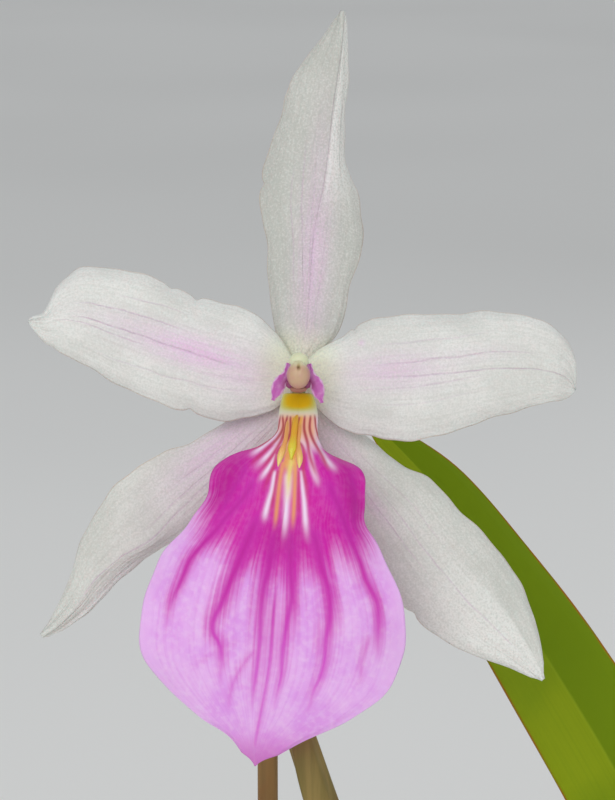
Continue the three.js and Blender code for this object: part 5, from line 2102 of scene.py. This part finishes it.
@dataclass
class Rhizome:
    """The creeping rhizome that links the pseudobulbs, and the roots over and in the bark.

    Routes are in millimetres, up from the level of the rhizome.
    """

    rhizome: tuple[Route, ...] = (
        ((-20, -5, 0), (-8, -1, -0.6), (8, 2, -0.6), (20, 5, 0), (33, 4, 0)),
        ((6, 1, -0.6), (9, 14, -0.4), (9, 30, 0)),
        ((9, 20, -0.4), (-6, 25, -0.4), (-22, 26, 0)),
        ((5, 1, -0.6), (4, -14, -0.6), (4, -31, -0.4)),
    )
    roots: tuple[Route, ...] = (
        ((-18, -6, 0), (-34, -16, 5.6), (-44, -20, 0)),
        ((-16, -2, 0), (-32, 8, 5.8), (-45, 13, -0.5)),
        ((-8, -4, 0), (-11, -24, 5.6), (-14, -43, -0.5)),
        ((12, 2, 0), (19, -20, 5.8), (30, -36, -0.5)),
        ((28, 2, 0), (39, -14, 5.4), (46, -16, -0.5)),
        ((10, 28, 0), (22, 38, 5.4), (30, 40, -0.5)),
    )
    rhizome_radii: tuple[float, ...] = (3.0, 3.0, 3.0)
    root_radii: tuple[float, ...] = (1.7, 1.6, 1.5, 1.2, 0.9)
    rhizome_steps: int = 90
    root_steps: int = 80
    sides: int = 28

    def rings(self, along: float, turn: float) -> float:
        """Ring the rhizome with the scars of old sheaths."""
        return 1 - 0.1 * (math.sin(90 * along) > 0.8) + 0.04 * math.sin(3 * turn + 20 * along)

    def swelling(self, along: float, turn: float) -> float:
        """Make the roots a little uneven."""
        return 1 + 0.07 * math.sin(17 * along + turn) + 0.05 * math.sin(41 * along)

    def lay(self, point: Vector) -> Vector:
        """Carry a point of a route to the row's frame in metres."""
        return (point + Vector((0, 0, RHIZOME_LEVEL))) * MM

    def build(self) -> None:
        """Build both kinds of strand as one piece each."""
        finish = RootFinish().build()
        for name, routes, radii, steps, section, brown in (
                ("rhizome", self.rhizome, self.rhizome_radii, self.rhizome_steps, self.rings, 1.0),
                ("roots", self.roots, self.root_radii, self.root_steps, self.swelling, 0.0)):
            bm = new_form()
            for route in routes:
                roll_tube(bm, route, radii, self.sides, steps, self.lay, section,
                          {"rhizome": brown})
            dress(object_from(bm, name), finish, Slot.ROOT, "rhizome_and_roots")


@dataclass
class Pot:
    """The clay pot: a tapered wall under a straight rim, with drain holes, in millimetres."""

    height: float = 100.0
    foot: float = 43.0
    body: float = 55.0
    rim: float = 60.0
    rim_depth: float = 17.0
    wall: float = 5.5
    floor: float = 7.0
    floor_flat: float = 20.0
    sides: int = 160
    holes: int = 4
    hole_radius: float = 5.0
    hole_ring: float = 24.0
    hole_sides: int = 48
    sharp_deg: float = 40.0

    @property
    def ledge(self) -> float:
        """The height of the step under the rim."""
        return self.height - self.rim_depth

    def inside(self, height: float) -> float:
        """Find the inner radius at a height."""
        return self.foot + (self.body - self.foot) * height / self.ledge - self.wall

    def profile(self) -> list[tuple[float, float]]:
        """Draw half the section, with worn edges.

        Returns:
            The (radius, height) points from the middle of the foot round to that of the floor.
        """
        ledge, top, rim, floor = self.ledge, self.height, self.rim, self.floor
        wall, low = self.inside(ledge), self.inside(floor)
        return [
            (0, 0), (self.floor_flat, 0), (self.foot - 3, 0.0), (self.foot - 1.2, 0.25),
            (self.foot - 0.3, 0.9), (self.foot, 2), (self.foot + 6, ledge / 2),
            (self.body - 0.3, ledge - 2.6), (self.body + 0.2, ledge - 1.4),
            (self.body + 1.4, ledge - 0.5), (rim - 1.6, ledge), (rim - 0.5, ledge + 0.4),
            (rim, ledge + 1.6), (rim, ledge + 8), (rim, top - 2.4), (rim - 0.4, top - 1),
            (rim - 1.4, top - 0.2), (rim - 2.6, top), (rim - 3.8, top - 0.3), (rim - 5, top - 1.4),
            (rim - self.wall, top - 3), (rim - self.wall - 0.1, ledge + 3), (wall + 0.2, ledge - 1),
            (wall, ledge - 3), (self.inside(ledge / 2), ledge / 2), (low + 0.2, floor + 2),
            (low - 1.6, floor), (self.floor_flat, floor), (0, floor),
        ]

    def drill(self) -> bpy.types.Object:
        """Make the rods that the drain holes are cut with.

        Returns:
            The rods as one object.
        """
        bm = bmesh.new()
        for k in range(self.holes):
            turn = 2 * math.pi * (k + 0.5) / self.holes
            place = Vector((self.hole_ring * math.cos(turn), self.hole_ring * math.sin(turn),
                            0)) * MM
            bmesh.ops.create_cone(bm, cap_ends=True, segments=self.hole_sides,
                                  radius1=self.hole_radius * MM, radius2=self.hole_radius * MM,
                                  depth=4 * self.floor * MM, matrix=Matrix.Translation(place))
        return object_from(bm, "drill")

    def build(self) -> None:
        """Spin the wall, then cut the drain holes."""
        bm = bmesh.new()
        turn_profile(bm, self.profile(), self.sides)
        pot = object_from(bm, "pot_clay")
        drill = self.drill()
        cut = pot.modifiers.new("drain_holes", "BOOLEAN")
        cut.object, cut.solver = drill, "EXACT"
        settled = pot.evaluated_get(bpy.context.evaluated_depsgraph_get())
        mesh = bpy.data.meshes.new_from_object(settled)
        pot.modifiers.clear()
        pot.data = mesh
        bpy.data.objects.remove(drill)
        pot.data.set_sharp_from_angle(angle=math.radians(self.sharp_deg))
        dress(pot, ClayFinish().build(), Slot.CLAY, "pot")


@dataclass
class BarkBed:
    """The bark in the pot: a rough bed with broken chips lying on it, in millimetres."""

    top: float = 87.5
    crown: float = 1.5
    gap: float = 0.35
    bed_sides: int = 96
    chips: int = 190
    seed: int = 11
    chip_long: float = 12.0
    chip_spans: Pairs = ((0.7, 1.3), (0.4, 0.8), (0.2, 0.4))
    chip_margin: float = 6.5
    chip_rise: tuple[float, float] = (-0.4, 3.0)
    chip_lean: float = 0.25
    chip_tilts: tuple[float, float] = (0.4, 0.35)
    chip_rounding: float = 0.22
    chip_rough: float = 0.09
    chip_cuts: int = 3
    golden_turn: float = math.pi * (3 - math.sqrt(5))
    pot: Pot = field(default_factory=Pot)

    def bed(self) -> None:
        """Build the fill under the chips."""
        foot, ledge = self.pot.floor + self.gap, self.pot.ledge - 2
        edge, peak = self.pot.inside(ledge) - self.gap, self.top + self.crown
        profile = [(0, foot), (self.pot.inside(foot) - 0.4, foot), (edge, ledge),
                   (edge, self.top - 1),
                   (edge - 4, self.top), (edge - 20, peak), (0, peak)]
        bm = new_form()
        turn_profile(bm, profile, self.bed_sides)
        finish = BarkFinish("bark bed", pale="#7A5A40")
        dress(object_from(bm, "bark_bed"), finish.build(), Slot.BARK, "bark_mix")

    def chip(self, bm: bmesh.types.BMesh, number: int, draw: random.Random) -> None:
        """Add one chip: a block broken into an uneven flake.

        Args:
            bm: The bmesh that receives the chip.
            number: The chip's number, which gives its place in the spiral of chips.
            draw: The source of its chances.
        """
        tones, done = bm.verts.layers.float["tone"], bm.verts.layers.int["made"]
        made = bmesh.ops.create_cube(bm, size=1.0)["verts"]
        edges = list({e for v in made for e in v.link_edges})
        bmesh.ops.subdivide_edges(bm, edges=edges, cuts=self.chip_cuts, use_grid_fill=True)
        verts = [v for v in bm.verts if not v[done]]
        long, wide, thick = (self.chip_long * draw.uniform(*span) for span in self.chip_spans)
        lean = Vector([draw.uniform(-self.chip_lean, self.chip_lean) for _ in range(3)])
        tone = draw.random()
        room = self.pot.inside(self.top) - self.chip_margin
        reach = room * math.sqrt((number + 0.5) / self.chips)
        turn = number * self.golden_turn + 0.5 * draw.random()
        up = self.top + draw.uniform(*self.chip_rise)
        spot = Vector((reach * math.cos(turn), reach * math.sin(turn), up))
        tilt = Matrix.Rotation(math.pi * draw.random(), 3, "Z")
        for most, axis in zip(self.chip_tilts, "YX"):
            tilt = tilt @ Matrix.Rotation(draw.uniform(-most, most), 3, axis)
        for vert in verts:
            vert[tones], vert[done] = tone, 1
            rough = Vector([draw.uniform(-self.chip_rough, self.chip_rough) for _ in range(3)])
            shape = vert.co * (1 - self.chip_rounding * vert.co.length_squared) + rough
            shape.x += lean.x * shape.y
            shape.y += lean.y * shape.z
            vert.co = tilt @ Vector((shape.x * long, shape.y * wide, shape.z * thick))
            vert.co = (vert.co + spot) * MM

    def build(self) -> None:
        """Build the bed and scatter the chips."""
        self.bed()
        draw = random.Random(self.seed)
        bm = new_form()
        bm.verts.layers.float.new("tone")
        bm.verts.layers.int.new("made")
        for number in range(self.chips):
            self.chip(bm, number, draw)
        bmesh.ops.recalc_face_normals(bm, faces=bm.faces)
        dress(object_from(bm, "bark_chips"), BarkFinish().build(), Slot.BARK, "bark_mix")


def as_it_is(ball: Vector) -> Vector:
    """Leave a ball's point where it is."""
    return ball


@dataclass(frozen=True)
class Egg:
    """An egg-shaped piece of the column, in the flower's own millimetres."""

    name: str
    at: Point
    half: Point
    marks: dict[str, Callable[[Vector], float]]
    shape: Placing = as_it_is
    around: int = 72
    upward: int = 48

    def build(self) -> bpy.types.Object:
        """Build the egg from a ball, shaped and marked point by point.

        Returns:
            The piece.
        """
        bm = new_form()
        bmesh.ops.create_uvsphere(bm, u_segments=self.around, v_segments=self.upward, radius=1.0)
        layers = {mark: bm.verts.layers.float.new(mark) for mark in self.marks}
        for vert in bm.verts:
            for mark, layer in layers.items():
                vert[layer] = float(self.marks[mark](vert.co))
            ball = self.shape(vert.co)
            place = [a + h * c for a, h, c in zip(self.at, self.half, ball)]
            vert.co = FACE.world(Vector(place))
        return object_from(bm, self.name)


@dataclass
class Column:
    """The column: a short club under a hood, two wings, and the anther cap on its front."""

    club: Route = ((0, 1.7, -0.7), (0, -0.6, -0.5), (0, -3.2, 0), (0, -4.4, 0.3))
    club_radii: tuple[float, ...] = (1.5, 1.5, 1.6, 1.3)
    club_grid: tuple[int, int] = (40, 40)
    eggs: tuple[Egg, ...] = (
        Egg("column_hood", (0, -3.6, 1.15), (1.2, 1.4, 1.15), {"wing": lambda ball: 0.0}),
        Egg("column_rim", (-0.05, -4.45, -2.1), (1.0, 0.6, 0.42), {"brown": lambda ball: 0.85}),
        # A dark egg behind the cap and wings: painted shade in the hollow there
        Egg("column_painted_shade", (-0.05, -4.15, -1.5), (1.55, 0.5, 0.72), {"dark": lambda ball: 0.95}),
    )
    cap_at: Point = (-0.05, -5.1, -0.35)
    cap_half: Point = (1.4, 1.3, 1.68)
    wings: dict[str, Route] = field(default_factory=lambda: {
        "left": ((-1.3, -3.3, 0.95), (-1.55, -3.7, -0.2), (-2.35, -4, -1.6), (-2.85, -4.1, -2.8),
                 (-3.1, -4.1, -3.4)),
        "right": ((1.3, -3.3, 0.85), (1.5, -3.7, -0.2), (2.1, -4, -1.6), (2.45, -4.1, -2.8),
                  (2.75, -4.1, -3.7)),
    })
    wing_halves: tuple[float, ...] = (0.22, 0.36, 0.78, 0.7, 0.14)
    wing_facing: Route = ((0, -1, 0),)
    wing_fold: float = 0.25
    wing_ripple: float = 0.12
    wing_grid: tuple[int, int] = (60, 30)
    wing_thickness: float = 0.6
    # Painted shade where the wings meet the cap
    painted_shade_pockets: tuple[Patch, ...] = (Patch(-1.6, -1.5, 0.9, 0.5, 75), Patch(1.45, -1.6, 0.9, 0.5, 105))

    def wing_all(self, spots: Spots) -> np.ndarray:
        """Give the whole wing its own colour."""
        return np.ones(len(spots.along))

    def wing_painted_shade(self, spots: Spots) -> np.ndarray:
        """Lay painted shade in the pocket between the wing and the cap."""
        return 0.9 * np.maximum.reduce([patch.mask(spots) for patch in self.painted_shade_pockets])

    def wing_edge(self, spots: Spots) -> np.ndarray:
        """Pale the wing's thin rim."""
        return 0.75 * smooth(np.abs(spots.across), 0.72, 1.0)

    def wing(self, side: str) -> None:
        """Build one wing.

        Args:
            side: The wing's side, left or right.
        """
        surface = StrapSheet(self.wings[side], self.wing_halves, self.wing_facing,
                             fold=self.wing_fold, ripple=self.wing_ripple)
        masks = {"wing": self.wing_all, "dark": self.wing_painted_shade, "edge": self.wing_edge}
        sheet = Sheet(f"column_wing_{side}", surface, *self.wing_grid, self.wing_thickness,
                      FACE.world, masks)
        dress(sheet.build(), ColumnFinish().build(), Slot.COLUMN, "column")

    def cap_shape(self, ball: Vector) -> Vector:
        """Narrow the cap's top and press the slit and the seam into its front.

        Args:
            ball: A point of the ball that the cap is made from.

        Returns:
            The point moved.
        """
        width = 1 - 0.18 * smooth(ball.z, 0.0, 1.0)
        slit = math.exp(-((ball.x - 0.02) / 0.14) ** 2 - ((ball.z - 0.5) / 0.16) ** 2)
        seam = 0.04 * math.exp(-(ball.x / 0.1) ** 2)
        return Vector((ball.x * float(width), ball.y + (0.3 * slit + seam) * (ball.y < 0), ball.z))

    def cap_spot(self, ball: Vector, place: tuple[float, float],
                 half: tuple[float, float]) -> float:
        """Measure a soft spot on the cap's front.

        Args:
            ball: A point of the ball that the cap is made from.
            place: The spot's middle, to the right and up.
            half: Its half width and half height.

        Returns:
            The strength, from 0 to 1.
        """
        aside, above = (ball.x - place[0]) / half[0], (ball.z - place[1]) / half[1]
        return math.exp(-(aside ** 2) - above ** 2) * (ball.y < 0)

    def cap(self) -> Egg:
        """Describe the anther cap.

        Returns:
            The cap with its markings.
        """
        marks = {
            "rim": lambda ball: float(smooth(abs(ball.x), 0.6, 0.95) + 0.6
                                      * smooth(ball.z, -0.6, -1.0)),
            "crown": lambda ball: 0.9 * float(smooth(ball.z, 0.42, 0.85)),
            "olive": lambda ball: 0.7 * self.cap_spot(ball, (0.04, 0.6), (0.16, 0.24)),
            "slit": lambda ball: 0.9 * self.cap_spot(ball, (-0.02, 0.5), (0.11, 0.09)),
        }
        return Egg("anther_cap_wax", self.cap_at, self.cap_half, marks, self.cap_shape)

    def build(self) -> None:
        """Build the club, the eggs round its front, the wings and the cap."""
        finish = ColumnFinish().build()
        bm = new_form()
        roll_tube(bm, self.club, self.club_radii, *self.club_grid, FACE.world, marks={"wing": 0.85})
        dress(object_from(bm, "column_club"), finish, Slot.COLUMN, "column")
        for egg in self.eggs:
            dress(egg.build(), finish, Slot.COLUMN, "column")
        for side in self.wings:
            self.wing(side)
        dress(self.cap().build(), AntherFinish().build(), Slot.ANTHER, "anther_cap")


@dataclass(frozen=True)
class Lamp:
    """A soft square light: its place and size in metres, its power in watts and its colour."""

    name: str
    place: Point
    size: float
    power: float
    colour: str


@dataclass
class Studio:
    """The plain pale ground, the soft lights and the camera.

    The aim and the camera's distance are in the flower's own millimetres.
    """

    aim: Point = (1.02, 0.0, -3.36)
    distance: float = 360.0
    lens: float = 135.0
    nearest: float = 0.01
    reach: float = 14.0
    lamps: tuple[Lamp, ...] = (
        Lamp("key", (-0.35, -1.1, 1.0), 1.0, 8.5, "#FFFFFF"),
        Lamp("fill", (0.8, -1.2, 0.45), 1.2, 2.4, "#FFFDFA"),
        Lamp("back", (0.5, 1.1, 1.1), 0.9, 2.5, "#F8FBFF"),
    )
    sky: str = "#E4E7EA"
    sky_strength: float = 0.64

    def ground(self) -> None:
        """Lay the ground, wide enough to fill the picture."""
        bm = bmesh.new()
        bmesh.ops.create_grid(bm, x_segments=2, y_segments=2, size=self.reach)
        ground = object_from(bm, "ground")
        ground.data.materials.append(GroundFinish().build())

    def stand(self, name: str, data: bpy.types.ID, place: Vector) -> bpy.types.Object:
        """Stand a light or a camera so that it faces the flower.

        Args:
            name: The object's name.
            data: The light or the camera.
            place: Where it stands, in metres.

        Returns:
            The object.
        """
        thing = bpy.data.objects.new(name, data)
        thing.location = place
        look = FACE.world(Vector(self.aim)) - thing.location
        thing.rotation_euler = look.to_track_quat("-Z", "Y").to_euler()
        bpy.context.scene.collection.objects.link(thing)
        return thing

    def light(self, lamp: Lamp) -> None:
        """Hang a light.

        Args:
            lamp: What the light is like.
        """
        data = bpy.data.lights.new(lamp.name, "AREA")
        data.size, data.energy = lamp.size, lamp.power
        data.color = linear(lamp.colour)[:3]
        self.stand(lamp.name, data, Vector(lamp.place))

    def camera(self) -> None:
        """Stand the camera square to the flower's face."""
        data = bpy.data.cameras.new("camera")
        data.lens, data.clip_start = self.lens, self.nearest
        place = FACE.world(Vector((self.aim[0], -self.distance, self.aim[2])))
        bpy.context.scene.camera = self.stand("camera", data, place)

    def build(self) -> None:
        """Set the stage."""
        bpy.context.scene.view_settings.view_transform = "Standard"
        self.ground()
        for lamp in self.lamps:
            self.light(lamp)
        world = bpy.data.worlds.new("studio")
        world.use_nodes = True
        background = world.node_tree.nodes["Background"]
        background.inputs["Color"].default_value = linear(self.sky)
        background.inputs["Strength"].default_value = self.sky_strength
        bpy.context.scene.world = world
        self.camera()


class Part(Protocol):
    """A part of the plant or the pot that can build itself."""

    def build(self) -> None:
        """Build the part's pieces and dress them."""


def plant_parts() -> list[Part]:
    """List the plant's and the pot's parts, in the order in which they are built.

    Returns:
        The parts.
    """
    straw = StalkFinish("bract", straw="#8C763C", olive="#76662C", rust="#785224", rust_share=0.5)
    bulb = BulbFinish("pseudobulb")
    old = BulbFinish("old pseudobulb", skin="#9C9350", light="#B5A768", foot="#77603A",
                     speck="#5C4326")
    return [
        Pot(),
        BarkBed(),
        Rhizome(),
        Pseudobulb("pseudobulb_front_left", (-16, -4), 71, 28, 13, -8, bulb),
        Pseudobulb("pseudobulb_right", (30, 4), 69, 28, 13, 10, bulb),
        Pseudobulb("pseudobulb_back", (9, 27), 62, 25, 12, -24, bulb),
        Pseudobulb("pseudobulb_old_leafless", (-20, 26), 48, 22, 11, 28, old, Slot.OLD_BULB, 11,
                   0.09),
        Foliage(),
        NewGrowth(),
        Scape("flower_scape",
              ((-24, -15.6, 84), (-26.5, -19, 125), (-30.6, -25, 190), (-32, -27.4, 250),
               (-32, -26.4, 286)),
              (1.9, 1.7, 1.4, 1.3, 1.3),
              ((0.1, 0.2, -0.8, -0.6), (0.3, 0.17, 0.7, -0.7), (0.49, 0.16, -0.9, -0.3),
               (0.68, 0.15, 0.8, -0.5)),
              StalkFinish("flower scape", straw="#8C6834", olive="#785A2A", rust="#86501C",
                          rust_share=0.85), straw),
        Scape("young_scape",
              ((26, -11, 84), (21, -17, 118), (5, -29, 180), (-12, -38, 228), (-26, -42.6, 264),
               (-33.4, -41.6, 287)),
              (2, 1.8, 1.6, 1.6, 1.5, 0.7),
              ((0.1, 0.18, 0.8, -0.5), (0.3, 0.17, -0.7, -0.7), (0.5, 0.16, 0.8, -0.3),
               (0.68, 0.15, -0.8, -0.5), (0.84, 0.13, 0.6, -0.6)),
              StalkFinish("young scape", straw="#8E7836", olive="#7A6A28", rust_share=0.25), straw),
        Pedicel(),
        Perianth(),
        Lip(),
        Column(),
    ]


def main() -> None:
    """Build the plant, the pot and the studio."""
    logging.basicConfig(level=logging.INFO)
    for part in plant_parts():
        LOG.info("building: %s", type(part).__name__)
        part.build()
    Studio().build()


if __name__ == "__main__":
    main()
